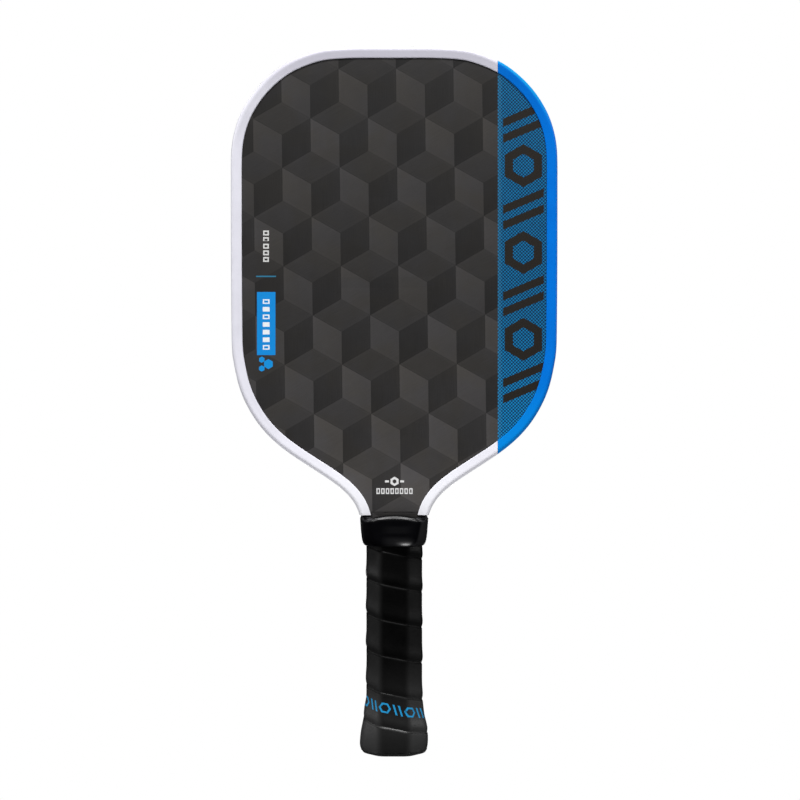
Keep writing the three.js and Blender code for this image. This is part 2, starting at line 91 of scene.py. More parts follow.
class Val:
    def __init__(self, tree, socket):
        self.tree, self.socket = tree, socket

    def _math(self, operation, *others):
        node = self.tree.nodes.new("ShaderNodeMath")
        node.operation = operation
        for i, value in enumerate((self,) + others):
            plug(self.tree, value, node.inputs[i])
        return Val(self.tree, node.outputs[0])

    def __add__(self, other): return self._math("ADD", other)
    __radd__ = __add__
    def __sub__(self, other): return self._math("SUBTRACT", other)
    def __rsub__(self, other): return constant(self.tree, other) - self
    def __mul__(self, other): return self._math("MULTIPLY", other)
    def __truediv__(self, other): return self._math("DIVIDE", other)
    def __neg__(self): return self._math("MULTIPLY", -1.0)
    def abs(self): return self._math("ABSOLUTE")
    def floor(self): return self._math("FLOOR")
    def fract(self): return self._math("FRACT")
    def sqrt(self): return self._math("SQRT")
    def pow(self, other): return self._math("POWER", other)
    def max(self, other): return self._math("MAXIMUM", other)
    def lt(self, other): return self._math("LESS_THAN", other)
    def gt(self, other): return self._math("GREATER_THAN", other)
    def mod(self, other): return self._math("FLOORED_MODULO", other)

    def rise(self, lo, hi):
        """0 below lo, 1 above hi, smooth between."""
        node = add_node(self.tree, "ShaderNodeMapRange",
                        **{"Value": self, "From Min": lo, "From Max": hi})
        node.interpolation_type = "SMOOTHSTEP"
        return Val(self.tree, node.outputs["Result"])

    def fall(self, lo, hi):
        """1 below lo, 0 above hi, smooth between."""
        return 1.0 - self.rise(lo, hi)


def constant(tree, value):
    node = tree.nodes.new("ShaderNodeValue")
    node.outputs[0].default_value = value
    return Val(tree, node.outputs[0])


def band(value, lo, hi, soft):
    """1 between lo and hi, with soft edges."""
    return value.rise(lo - soft, lo + soft) * value.fall(hi - soft, hi + soft)


def within(value, half, soft):
    """1 within half either side of zero, with soft edges."""
    return band(value, -half, half, soft)


def hex_distance(x, z):
    """Distance from the middle of a hexagon with upright sides, measured square to its sides."""
    far_x, far_z = x.abs(), z.abs()
    return far_x.max(far_x * 0.5 + far_z * 0.8660254)


def linear(colour):
    """sRGB 0-255 to linear RGBA."""
    def channel(value):
        value /= 255.0
        return value / 12.92 if value <= 0.04045 else ((value + 0.055) / 1.055) ** 2.4
    return (*(channel(c) for c in colour), 1.0)


class Mat:
    """A node material: a Principled shader with helpers for its inputs."""

    def __init__(self, name):
        self.material = bpy.data.materials.new(name)
        self.material.use_nodes = True
        self.tree = self.material.node_tree
        self.tree.nodes.clear()
        output = self.add("ShaderNodeOutputMaterial")
        self.shader = self.add("ShaderNodeBsdfPrincipled")
        self.tree.links.new(self.shader.outputs[0], output.inputs["Surface"])
        self.coords = self.add("ShaderNodeTexCoord")

    def add(self, kind, **inputs):
        return add_node(self.tree, kind, **inputs)

    def split(self, vector):
        node = self.add("ShaderNodeSeparateXYZ", Vector=vector)
        return [Val(self.tree, node.outputs[i]) for i in range(3)]

    def xyz(self):
        """Object coordinates in millimetres."""
        return [value * 1000.0 for value in self.split(self.coords.outputs["Object"])]

    def facing(self):
        """Sideways part of the surface's direction: -1 looks left, 1 looks right."""
        return self.split(self.add("ShaderNodeNewGeometry").outputs["Normal"])[0]

    def vec(self, x, y, z):
        """A plain number in a slot picks one slice of a noise, so that noises don't match."""
        return self.add("ShaderNodeCombineXYZ", X=x, Y=y, Z=z).outputs[0]

    def noise(self, vector, detail, rough, scale=1.0, distortion=0.0):
        node = self.add("ShaderNodeTexNoise", Vector=vector, Scale=scale, Detail=detail,
                        Roughness=rough, Distortion=distortion)
        return Val(self.tree, node.outputs[0])

    def voronoi(self, vector, scale):
        node = self.add("ShaderNodeTexVoronoi", Vector=vector, Scale=scale)
        return Val(self.tree, node.outputs["Distance"])

    def white(self, vector):
        node = self.add("ShaderNodeTexWhiteNoise", Vector=vector)
        return Val(self.tree, node.outputs["Value"])

    def mix(self, share, first, second, blend="MIX"):
        """first at 0 and second at 1. Colours are sRGB 0-255 triples or sockets."""
        node = self.tree.nodes.new("ShaderNodeMix")
        node.data_type, node.blend_type = "RGBA", blend
        plug(self.tree, share, node.inputs[0])
        for i, colour in ((6, first), (7, second)):
            if isinstance(colour, tuple):
                colour = linear(colour)
            plug(self.tree, colour, node.inputs[i])
        return node.outputs[2]

    def scale(self, colour, factor):
        node = self.tree.nodes.new("ShaderNodeVectorMath")
        node.operation = "SCALE"
        plug(self.tree, colour, node.inputs[0])
        plug(self.tree, factor, node.inputs["Scale"])
        return node.outputs[0]

    def set(self, name, value):
        plug(self.tree, value, self.shader.inputs[name])

    def bump(self, height, distance, strength):
        """distance is in millimetres for a height of 1."""
        node = self.add("ShaderNodeBump", Strength=strength, Distance=distance * MM,
                        Height=height)
        self.tree.links.new(node.outputs[0], self.shader.inputs["Normal"])


# --------------------------------------------------------------------------------------------
# Face material: carbon in a pattern of cubes, under blue and white print
# --------------------------------------------------------------------------------------------
CUBE_W = 33.71  # width of a cube
ROW_H = 28.81  # height of a row of cubes
CUBE_EDGE = ROW_H / 1.5
CUBE_X, CUBE_Z = -48.97, 335.82  # one cube's middle, where its three edges meet
PRINT_TURN = ((0.9956, 0.0116), (-0.0058, 0.9908))  # the print sits a little turned
STRETCH = (CUBE_W * math.sqrt(3) / 2) / ROW_H  # makes a row as high as a regular hexagon's
CUBE_SLOPE = CUBE_EDGE / CUBE_W  # climb of a top tile's lower edges
STRIPE_X = 61.1  # left edge of the blue stripe
HALFTONE = 1.4  # pitch of the printed dots
DIAGONAL = 0.7071  # cosine of 45 degrees
MOTIF_X, MOTIF_Z = 76.2, 295.5
MOTIF_STEP = 25.6
MOTIF_BAR_PITCH = 9.4
MOTIF_LEAN = 0.42  # climb of the motif's bars
LABEL_LEFT, LABEL_Z = 75.5, 253.6  # the label's middle, left of the paddle's
LABEL_PITCH = 4.5
GEM_LEFT, GEM_Z = 75.6, 229.7
TICKS_Z, TICK_PITCH = 299.3, 3.9
MARK_X, MARK_Z, MARK_PITCH = 0.2, 160.6, 2.75


def cube_pattern(mat, x, z):
    """Place within the nearest cube, and which of its three tiles is there."""
    turned_x, turned_z = ((x - CUBE_X) * by_x + (z - CUBE_Z) * by_z
                          for by_x, by_z in PRINT_TURN)
    # the nearest of two staggered grids of middles
    across_a = (turned_x + CUBE_W / 2).mod(CUBE_W) - CUBE_W / 2
    up_a = (turned_z + ROW_H).mod(2 * ROW_H) - ROW_H
    across_b = turned_x.mod(CUBE_W) - CUBE_W / 2
    up_b = turned_z.mod(2 * ROW_H) - ROW_H
    far_a = across_a * across_a + (up_a * STRETCH) * (up_a * STRETCH)
    far_b = across_b * across_b + (up_b * STRETCH) * (up_b * STRETCH)
    pick_b = far_b.lt(far_a)
    across = across_a + (across_b - across_a) * pick_b
    up = up_a + (up_b - up_a) * pick_b
    cell_x = (turned_x - across) * (2.0 / CUBE_W)
    cell_z = (turned_z - up) * (1.0 / ROW_H)
    top = up.gt(across.abs() * CUBE_SLOPE)
    right = across.gt(0.0) * (1.0 - top)
    left = (1.0 - top) * (1.0 - right)
    kind = right * 1.0 + top * 2.0
    # two random numbers for each tile; the quarters keep clear of the cells' borders
    tone_luck = mat.white(mat.vec(cell_x + 0.25, cell_z + 0.25, kind))
    rough_luck = mat.white(mat.vec(cell_z + 0.75, cell_x + 0.25, kind + 3.0))
    return SimpleNamespace(across=across, up=up, top=top, left=left, right=right,
                           tone_luck=tone_luck, rough_luck=rough_luck)


def tile_reflection_tone(cube):
    """Brightness on a 0-255 scale: a painted reflection level per tile, for how its fibre
    direction catches the light, with a slow change over each.
    """
    tone = cube.top * 56.0 + cube.left * 65.0 + cube.right * 46.0
    tone = tone + (cube.tone_luck - 0.5) * 4.0
    up, across = cube.up / CUBE_EDGE, cube.across / CUBE_W
    tone = tone + cube.left * (up * 5.0 + across * -6.0 + 1.0)
    tone = tone + cube.right * (up * 4.0 + across * 5.0 - 1.0)
    return tone + cube.top * ((up - 0.5) * 5.0)


def tile_seams(cube):
    """Thin dark lines between tiles, and the light lines beside them."""
    from_top = (cube.up - cube.across.abs() * CUBE_SLOPE) * 0.866  # under the top tile
    from_middle = cube.across.abs()  # between the left and right tiles
    from_rim = CUBE_W / 2 - hex_distance(cube.across, cube.up * STRETCH)  # round the cube
    top_seam = from_top.abs().fall(0.0, 0.55) * 0.8
    middle_seam = from_middle.fall(0.0, 0.45) * (1.0 - cube.top) * 0.9
    rim_seam = from_rim.fall(0.0, 0.5) * 0.7
    light = band(from_top, 0.5, 1.3, 0.3) * 1.2 + band(from_rim, 0.5, 1.4, 0.3) * 1.2
    return top_seam.max(middle_seam).max(rim_seam), light


def carbon_fibre(mat, cube, x, z):
    """Fine lines: upright in the right tiles, slanting otherwise in the left and top ones."""
    right = mat.noise(mat.vec(x * 3.2, 0.0, z * 0.06), detail=3.0, rough=0.65)
    left = mat.noise(mat.vec(x * 0.06 + cube.tone_luck * 20.0, 3.0, (z - x * 0.57) * 3.0),
                     detail=3.0, rough=0.65)
    top = mat.noise(mat.vec((x + z * 1.7) * 0.05, 7.0, (z * 1.2 - x * 0.6) * 2.6),
                    detail=3.0, rough=0.65)
    return right * cube.right + left * cube.left + top * cube.top


def carbon_colour(mat, cube, seam, seam_light, fibre, x, z):
    tone = tile_reflection_tone(cube) - seam * 3.0
    tone = tone + seam_light
    cloth = mat.noise(mat.vec(x * 0.09, 11.0, z * 0.07), detail=3.0, rough=0.6)
    fleck = mat.noise(mat.vec(x * 1.1, 5.0, z * 1.1), detail=2.0, rough=0.5)
    tone = tone + (fibre - 0.5) * 13.0 + (cloth - 0.5) * 7.0 + (fleck - 0.5) * 3.0
    # a few bright broken filaments
    stray = mat.noise(mat.vec(x * 0.35, 17.0, z * 6.0), detail=1.0, rough=0.5).rise(0.70, 0.80)
    tone = tone + stray * cube.left * 4.0
    warm = mat.noise(mat.vec(x * 0.05, 23.0, z * 0.05), detail=2.0, rough=0.5)
    light = tone / 255.0
    light = light.max(0.02).pow(2.2) * 0.8
    # painted light: the weave is paler towards the neck
    light = light * (z.fall(190.0, 275.0) * 0.28 + z.fall(140.0, 195.0) * 0.72 + 1.0)
    light = light * (1.0 - z.fall(141.2, 142.4) * 0.5)  # painted shadow along the collar's top
    tint = mat.mix(warm.rise(0.35, 0.65), (255, 246, 238), (255, 249, 250))
    return mat.scale(tint, light)


def halftone_stripe(mat, x, z):
    """The blue stripe of printed dots beside the blue guard: its area, its dots, its colour."""
    from_edge = x - STRIPE_X
    ragged = mat.noise(mat.vec(0.0, 31.0, z * 1.4), detail=1.0, rough=0.5) * 0.7
    stripe = (from_edge + ragged - 0.35).rise(-0.12, 0.12)
    # a square grid of dots, turned by 45 degrees
    grid_a = (x + z) * (1.0 / HALFTONE) * DIAGONAL
    grid_b = (x - z) * (1.0 / HALFTONE) * DIAGONAL
    dot_a, dot_b = grid_a.fract() - 0.5, grid_b.fract() - 0.5
    from_dot = (dot_a * dot_a + dot_b * dot_b).sqrt()
    wobble = mat.noise(mat.vec(x * 2.0, 0.0, z * 2.0), detail=1.0, rough=0.5)
    ink = (from_dot + (wobble - 0.5) * 0.10).fall(0.33, 0.45)
    patch = mat.noise(mat.vec(x * 0.12, 41.0, z * 0.12), detail=2.0, rough=0.5)
    dot_colour = mat.mix(patch, (0, 116, 170), (0, 124, 180))
    gap_colour = mat.mix(patch, (0, 36, 68), (0, 42, 80))
    blue = mat.mix(ink, gap_colour, dot_colour)
    blue = mat.scale(blue, z.fall(185.0, 270.0) * 0.4 + 0.84)  # painted light: brighter low down
    # the first dots of the stripe are paler
    pale = (from_edge - 2.0).fall(-0.8, 0.8)
    blue = mat.mix(pale * 0.22, blue, (60, 124, 156))
    return stripe, ink, blue


def stripe_motif(x, z):
    """Hexagon rings and slanted bars in turn, up the stripe."""
    from_x, from_z = x - MOTIF_X, z - MOTIF_Z
    lane = ((from_z / MOTIF_STEP) + 0.5).floor()
    lane_z = from_z - lane * MOTIF_STEP
    in_range = lane.abs().lt(3.5)
    odd = lane.abs().mod(2.0).gt(0.5)
    ring = band(hex_distance(from_x, lane_z), 6.1, 11.0, 0.12)
    # a hundred pitches keep the place positive
    place = (lane_z - from_x * MOTIF_LEAN + 100.0 * MOTIF_BAR_PITCH).mod(MOTIF_BAR_PITCH)
    bar = band(place, 2.25, 7.15, 0.12) * within(from_x, 12.0, 0.12)
    bar = bar * (lane_z - from_x * MOTIF_LEAN).abs().lt(MOTIF_BAR_PITCH)
    return (ring * (1.0 - odd) + bar * odd) * in_range


def bar_row(place, pitch, across, along, bar, width, run, hole, hole_width):
    """A row of bars and the holes in them. place counts pitches along the row. bar and hole
    are (start, end, softness) within a pitch, width and hole_width the same across the row,
    and run is the row's whole length."""
    solid = band(place.fract() * pitch, *bar) * band(across, *width) * band(along, *run)
    return solid, band(place.fract() * pitch, *hole) * band(across, *hole_width)


def label_print(mat, colour, x, z):
    """Blue panel with white bars at the left, and three small hexagons at its lower end."""
    across, along = x + LABEL_LEFT, z - LABEL_Z
    panel = within(across, 5.45, 0.1) * within(along, 18.6, 0.1)
    place = (along + 16.0) / LABEL_PITCH
    luck = mat.white(mat.vec(place.floor() + 0.25, 2.0, 0.25))
    bars, holes = bar_row(
        place, LABEL_PITCH, across, along, bar=(0.6, 3.3, 0.12), width=(-2.0, 2.0, 0.12),
        run=(-15.9, 15.4, 0.05), hole=(1.3, 2.6, 0.1), hole_width=(-1.2, 1.2, 0.1))
    bars = bars * (1.0 - holes * luck.gt(0.45))  # only some bars are hollow
    colour = mat.mix(panel, colour, (0, 137, 217))
    colour = mat.mix(bars, colour, (236, 240, 244))
    gem_x, gem_z = x + GEM_LEFT, z - GEM_Z
    big = hex_distance(gem_x - 1.4, gem_z).fall(2.45, 2.65)
    lower_z, upper_z = gem_z + 2.6, gem_z - 2.6
    upper = hex_distance(gem_x + 2.5, upper_z).fall(1.5, 1.7)
    lower = hex_distance(gem_x + 2.5, lower_z).fall(1.5, 1.7)
    return mat.mix(big.max(upper).max(lower), colour, (0, 142, 218)), panel


def ticks_print(mat, colour, x, z):
    """A thin level line over the label, and an upright column of pale hollow ticks above it."""
    line = band(x, -81.5, -69.7, 0.08) * band(z, 281.0, 281.8, 0.08)
    colour = mat.mix(line, colour, (42, 116, 148))
    along = z - TICKS_Z
    ticks, holes = bar_row(
        (along + 9.8) / TICK_PITCH, TICK_PITCH, x, along, bar=(0.45, 3.35, 0.1),
        width=(-77.3, -73.9, 0.1), run=(-9.7, 9.7, 0.05), hole=(1.25, 2.5, 0.1),
        hole_width=(-76.5, -74.7, 0.1))
    ticks = ticks * (1.0 - holes)
    ticks = ticks * (1.0 - band(along, 1.9, 3.0, 0.05))  # a gap part of the way up
    return mat.mix(ticks, colour, (214, 214, 212))


def neck_print(mat, colour, x, z):
    """Over the neck: a white hexagon ring between two dashes, over a row of short bars."""
    from_x, from_z = x - MARK_X, z - MARK_Z
    ring = band(hex_distance(from_x, from_z + 0.1), 1.1, 2.4, 0.1)
    dashes = band(from_x.abs(), 3.3, 5.6, 0.1) * within(from_z + 0.1, 0.6, 0.1)
    bars, holes = bar_row(
        (from_x + 11.0) / MARK_PITCH, MARK_PITCH, z, from_x, bar=(0.35, 2.4, 0.08),
        width=(153.1, 156.5, 0.1), run=(-10.9, 10.9, 0.05), hole=(0.95, 1.8, 0.08),
        hole_width=(153.8, 155.8, 0.08))
    bars = bars * (1.0 - holes)
    return mat.mix(ring.max(dashes).max(bars), colour, (226, 226, 226))


def face_material(name):
    mat = Mat(name)
    x, y, z = mat.xyz()
    cube = cube_pattern(mat, x, z)
    seam, seam_light = tile_seams(cube)
    fibre = carbon_fibre(mat, cube, x, z)
    carbon = carbon_colour(mat, cube, seam, seam_light, fibre, x, z)
    stripe, ink, blue = halftone_stripe(mat, x, z)
    uneven = mat.noise(mat.vec(x * 1.3, 47.0, z * 1.3), detail=2.0, rough=0.5)
    black = mat.mix(uneven, (28, 25, 20), (42, 37, 33))
    colour = mat.mix(stripe, carbon, mat.mix(stripe_motif(x, z), blue, black))
    colour, panel = label_print(mat, colour, x, z)
    colour = ticks_print(mat, colour, x, z)
    mat.set("Base Color", neck_print(mat, colour, x, z))
    # gritty finish, a little smoother where it is printed
    grit = mat.noise(mat.vec(x * 2.6, y * 2.6, z * 2.6), detail=4.0, rough=0.7)
    mat.set("Roughness", (grit - 0.5) * 0.22 + (0.56 - stripe * 0.06)
            + (cube.rough_luck - 0.5) * 0.05)
    mat.set("Specular IOR Level", 0.2)
    mat.set("Coat Weight", 0.03)
    mat.set("Coat Roughness", 0.35)
    height = (fibre - 0.5) * 0.35 + (grit - 0.5) * 0.6 - seam * 0.5
    height = height + (stripe * ink) * 0.25 + panel * 0.3
    mat.bump(height, distance=0.06, strength=0.55)
    return mat.material


# --------------------------------------------------------------------------------------------
# The other materials
# --------------------------------------------------------------------------------------------
def guard_material(name, main, dark, light, rough, specular, lit_foot, lit_foot_z, shaded_crown=None, rim_highlight=None):
    """The colour towards the lower end is painted light, the one over the top painted shade,
    and the one on the outer roundover at the upper right corner a painted highlight."""
    mat = Mat(name)
    x, y, z = mat.xyz()
    place = mat.vec(x, y, z)
    broad = mat.noise(place, scale=0.045, detail=3.0, rough=0.55)
    fine = mat.noise(place, scale=1.4, detail=3.0, rough=0.6)
    pits = mat.voronoi(place, scale=1.9)
    colour = mat.mix(broad.rise(0.3, 0.7), dark, main)
    colour = mat.mix((fine - 0.35).max(0.0) * 0.5, colour, light)
    # handling marks: thin scuffs, mostly along the outside wall
    scuff = mat.noise(mat.vec(x * 0.5, y * 3.0, z * 0.5), detail=4.0, rough=0.7)
    scuff = scuff.rise(0.66, 0.78)
    outer = y.abs().lt(GUARD_Y - 1.2) * 1.0
    colour = mat.mix(scuff * outer * 0.25, colour, dark)
    # painted light: paler towards the lower end
    colour = mat.mix(z.fall(*lit_foot_z), colour, lit_foot)
    # painted shade: duller over the top
    if shaded_crown:
        colour = mat.mix(z.rise(384.0, 410.0), colour, shaded_crown)
    # painted highlight on the outer roundover at the upper right corner
    if rim_highlight:
        colour = mat.mix(mat.facing().rise(0.06, 0.22) * z.rise(364.0, 396.0), colour, rim_highlight)
    mat.set("Base Color", colour)
    mat.set("Roughness", rough + (fine - 0.5) * 0.16 + scuff * 0.1)
    mat.set("Specular IOR Level", specular)
    mat.bump(fine * 0.5 + pits * 0.5, distance=0.03, strength=0.6)
    return mat.material


def lit_flats_tone(mat, side, z):
    """Painted light: paler on the slanting flats, where they face the side lights, and towards
    the butt.
    """
    low = z.fall(14.0, 66.0)
    front = mat.mix(low, (0, 0, 0), (25, 25, 25))
    left = mat.mix(low, (25, 25, 25), (52, 52, 52))
    right = mat.mix(low, (15, 15, 15), (51, 51, 51))
    return mat.mix((-side).rise(0.05, 0.7), mat.mix(side.rise(0.05, 0.7), front, right), left)


def grip_print(mat, along, across, place):
    """Band of hexagons and paired bars, printed on one turn only."""
    pitch = 7.3
    turn = mat.add("ShaderNodeAttribute")
    turn.attribute_name = "turn"
    on_turn = within(Val(mat.tree, turn.outputs["Fac"]), 0.25, 0.01)
    step = along / pitch
    odd = step.floor().mod(2.0).gt(0.5)
    cell_along = (step.fract() - 0.5) * pitch
    cell_across = across - 11.6
    ring = band(hex_distance(cell_across, cell_along), 2.0, 3.05, 0.12)
    slant = cell_along - cell_across * 0.3
    bars = band(slant, -2.2, -1.1, 0.1) + band(slant, 0.9, 2.0, 0.1)
    bars = bars * within(cell_across, 3.1, 0.1)
    ink = (ring * (1.0 - odd) + bars * odd) * on_turn
    return ink * mat.noise(place, scale=0.8, detail=3.0, rough=0.6).rise(0.25, 0.4)  # worn


def grip_material():
    mat = Mat("grip_pu")
    tape_uv = mat.split(mat.coords.outputs["UV"])
    along = tape_uv[0] * 1000.0  # along the tape, mm
    across = tape_uv[1] * 100.0  # across the tape, mm
    x, y, z = mat.xyz()
    place = mat.vec(x, y, z)
    pore = mat.voronoi(place, scale=1.55)
    grain = mat.noise(place, scale=1.1, detail=4.0, rough=0.62)
    broad = mat.noise(place, scale=0.09, detail=3.0, rough=0.55)
    crease = mat.noise(mat.vec(along * 0.05, across * 0.55, 4.0), detail=3.0, rough=0.6,
                       distortion=0.4)
    colour = mat.mix(broad.rise(0.3, 0.7), (2, 2, 2), (4, 4, 4))
    colour = mat.mix((grain - 0.45).max(0.0) * 0.5, colour, (14, 14, 14))
    # paler along the lower edge of each turn
    colour = mat.mix(across.fall(0.0, 1.6) * 0.2, colour, (24, 24, 24))
    side = mat.facing()
    seam = across.rise(19.1, 19.6)  # the lower turn's end, rising into the overlap
    flank = side.abs().rise(0.2, 0.5)
    # painted light added on the slanting flats and towards the butt, weaker at the seams on the
    # flanks
    colour = mat.mix(1.0 - seam * flank * 0.6, colour, lit_flats_tone(mat, side, z), blend="ADD")
    ink = grip_print(mat, along, across, place)
    mat.set("Base Color", mat.mix(ink, colour, (30, 139, 192)))
    mat.set("Roughness", 0.35 + (grain - 0.5) * 0.14 + (broad - 0.5) * 0.1 + ink * 0.05)
    # the seam shines less on the flanks and high up, and more near the butt
    flank_shine = 1.0 - seam * flank * 0.85
    low_shine = 1.0 + seam * z.fall(17.0, 22.0) * 2.2
    high_shine = 1.0 - seam * z.rise(108.0, 112.0) * 0.5
    mat.set("Specular IOR Level", flank_shine * low_shine * high_shine * 0.18)
    mat.bump(pore.fall(0.0, 0.55) * -0.5 + grain * 0.5 + crease * 0.9,
             distance=0.07, strength=0.6)
    return mat.material


def rubber_material():
    mat = Mat("collar_rubber")
    x, y, z = mat.xyz()
    place = mat.vec(x, y, z)
    fine = mat.noise(place, scale=1.7, detail=4.0, rough=0.6)
    broad = mat.noise(place, scale=0.12, detail=3.0, rough=0.5)
    pull = mat.noise(mat.vec(x * 0.05, y * 0.05, (z + x * 0.3) * 0.9), detail=3.0, rough=0.6)
    colour = mat.mix(broad, (2, 2, 4), (5, 5, 7))
    dust = fine.rise(0.62, 0.8) * 0.25
    colour = mat.mix(dust * 0.5, colour, (34, 34, 34))
    # painted light on both sides, where they face the side lights; paler also along the lower
    # edge and in a band above it, near the middle
    side = mat.facing()
    lit_sides_and_pale_bands = side.rise(0.35, 0.6) * 0.8 + (-side).rise(0.7, 0.9) * 0.6
    lit_sides_and_pale_bands = lit_sides_and_pale_bands + z.fall(126.0, 129.5) * (x - 2.0).abs().fall(4.0, 11.0) * 0.45
    lit_sides_and_pale_bands = lit_sides_and_pale_bands + band(z, 130.5, 134.5, 1.0) * (x - 2.0).abs().fall(3.0, 11.0) * 0.2
    mat.set("Base Color", mat.mix(lit_sides_and_pale_bands, colour, (34, 34, 35)))
    # a spot with its own shine, where the collar is stretched over the tape's end
    spot = ((x - 6.4) * 0.45).abs().max((z - 124.0).abs()).fall(1.0, 3.6)
    mat.set("Roughness", 0.27 + (fine - 0.5) * 0.12 + broad * 0.05 + spot * 0.12)
    # the top lip's shine changes along its length and dies out at its ends
    lip = z.rise(136.0, 137.0)
    along = x.abs().rise(9.0, 12.0) * 0.95 - band(x.abs(), 5.0, 9.0, 1.0) * 0.2
    shine = 0.13 + spot * 0.3 + z.rise(136.5, 137.5) * 0.06
    mat.set("Specular IOR Level",
            shine * (1.0 - lip * x.abs().rise(14.5, 17.0) * 0.8) * (1.0 + lip * along))
    mat.bump(fine * 0.4 + pull * 0.8, distance=0.03, strength=0.35)
    return mat.material


def plastic_material(name, dark, light, rough, grain=1.3, depth=0.05):
    """Moulded plastic with a fine texture and uneven tone."""
    mat = Mat(name)
    place = mat.vec(*mat.xyz())
    fine = mat.noise(place, scale=grain, detail=4.0, rough=0.65)
    broad = mat.noise(place, scale=0.08, detail=3.0, rough=0.5)
    mat.set("Base Color", mat.mix((broad * 0.6 + fine * 0.4).rise(0.3, 0.7), dark, light))
    mat.set("Roughness", rough + (fine - 0.5) * 0.2)
    mat.bump(fine, distance=depth, strength=0.7)
    return mat.material


def foam_material():
    mat = Mat("edge_foam")
    place = mat.vec(*mat.xyz())
    cells = mat.voronoi(place, scale=1.1)
    tone = mat.noise(place, scale=0.1, detail=3.0, rough=0.6)
    mat.set("Base Color", mat.mix(cells.rise(0.1, 0.7), (214, 205, 178), (176, 168, 142)))
    mat.set("Roughness", 0.85 + (tone - 0.5) * 0.1)
    mat.bump(cells, distance=0.25, strength=0.8)
    return mat.material


def drawn_material(name, stretch, dark, light, rough, depth, strength, **inputs):
    """Material with fine lines. stretch is the noise's scale along x, y and z; inputs are
    further shader inputs, with _ for a space."""
    mat = Mat(name)
    place = mat.vec(*(value * factor for value, factor in zip(mat.xyz(), stretch)))
    lines = mat.noise(place, detail=3.0, rough=0.6)
    mat.set("Base Color", mat.mix(lines, dark, light))
    mat.set("Roughness", rough + lines * 0.2)
    for key, value in inputs.items():
        mat.set(key.replace("_", " "), value)
    mat.bump(lines, distance=depth, strength=strength)
    return mat.material


FRONT = face_material("face_front")
REAR = face_material("face_rear")
WHITE = guard_material(
    "guard_white", main=(231, 230, 240), dark=(222, 221, 231), light=(242, 242, 248), rough=0.42,
    specular=0.35, lit_foot=(243, 243, 249), lit_foot_z=(146.0, 190.0), shaded_crown=(213, 211, 223))
BLUE = guard_material(
    "guard_blue", main=(0, 116, 220), dark=(0, 109, 212), light=(0, 124, 228), rough=0.38,
    specular=0.06, lit_foot=(0, 130, 216), lit_foot_z=(180.0, 235.0), rim_highlight=(20, 146, 212))
GRIP = grip_material()
RUBBER = rubber_material()
CAP = plastic_material("butt_cap_plastic", dark=(36, 36, 37), light=(48, 48, 49), rough=0.5)
SHELL = plastic_material("handle_shell_plastic", dark=(38, 38, 39), light=(52, 52, 53),
                         rough=0.7)
FILM = plastic_material("finishing_film", dark=(12, 12, 13), light=(22, 22, 22), rough=0.35,
                        grain=0.7, depth=0.03)
FOAM = foam_material()
STEEL = drawn_material(
    "staple_wire", stretch=(0.4, 6.0, 6.0), dark=(150, 151, 152), light=(192, 193, 194),
    rough=0.3, depth=0.02, strength=0.5, Metallic=1.0)
HONEY = drawn_material(
    "honeycomb_pp", stretch=(0.3, 3.0, 0.3), dark=(206, 210, 214), light=(232, 234, 236),
    rough=0.42, depth=0.05, strength=0.6, Transmission_Weight=0.1)


# --------------------------------------------------------------------------------------------
# Geometry helpers
# --------------------------------------------------------------------------------------------
def new_object(name, verts, faces, material):
    """A smooth-shaded object, its faces turned outwards."""
    mesh = bpy.data.meshes.new(name)
    mesh.from_pydata([tuple(c * MM for c in v) for v in verts], [], faces)
    mesh.validate()
    mesh.update()
    mesh.materials.append(material)
    mesh.shade_smooth()
    piece = bpy.data.objects.new(name, mesh)
    bpy.context.scene.collection.objects.link(piece)
    edit = bmesh.new()
    edit.from_mesh(mesh)
    bmesh.ops.recalc_face_normals(edit, faces=edit.faces)
    edit.to_mesh(mesh)
    edit.free()
    return piece


def cut_plane(edit, point, normal, keep_positive, dist):
    """Cuts an open bmesh with a plane and drops one side."""
    geom = edit.verts[:] + edit.edges[:] + edit.faces[:]
    return bmesh.ops.bisect_plane(
        edit, geom=geom, dist=dist, plane_co=Vector(point) * MM, plane_no=normal,
        clear_inner=keep_positive, clear_outer=not keep_positive)


def bisect(piece, point, normal, keep_positive):
    """Cuts a closed mesh with a plane, keeps one side and closes the cut flat."""
    edit = bmesh.new()
    edit.from_mesh(piece.data)
    cut = cut_plane(edit, point, normal, keep_positive, dist=1e-7)
    edges = [e for e in cut["geom_cut"] if isinstance(e, bmesh.types.BMEdge)]
    edges = [e for e in edges if e.is_valid and e.is_boundary]
    if edges:
        bmesh.ops.holes_fill(edit, edges=edges, sides=0)
    edit.to_mesh(piece.data)
    edit.free()


def sharpen(piece, degrees):
    """Smooth shading with sharp edges where faces meet at more than the angle."""
    edit = bmesh.new()
    edit.from_mesh(piece.data)
    limit = math.radians(degrees)
    for edge in edit.edges:
        edge.smooth = not (len(edge.link_faces) == 2 and edge.calc_face_angle(0) > limit)
    for face in edit.faces:
        face.smooth = True
    edit.to_mesh(piece.data)
    edit.free()


def keep_island(piece, test):
    """Keeps the connected parts whose middle, in millimetres, passes the test."""
    edit = bmesh.new()
    edit.from_mesh(piece.data)
    seen, drop = set(), []
    for first in edit.verts:
        if first in seen:
            continue
        stack, part = [first], []
        seen.add(first)
        while stack:
            vert = stack.pop()
            part.append(vert)
            for edge in vert.link_edges:
                other = edge.other_vert(vert)
                if other not in seen:
                    seen.add(other)
                    stack.append(other)
        middle = sum((vert.co for vert in part), Vector()) / len(part)
        if not test(middle / MM):
            drop += part
    bmesh.ops.delete(edit, geom=drop, context="VERTS")
    edit.to_mesh(piece.data)
    edit.free()


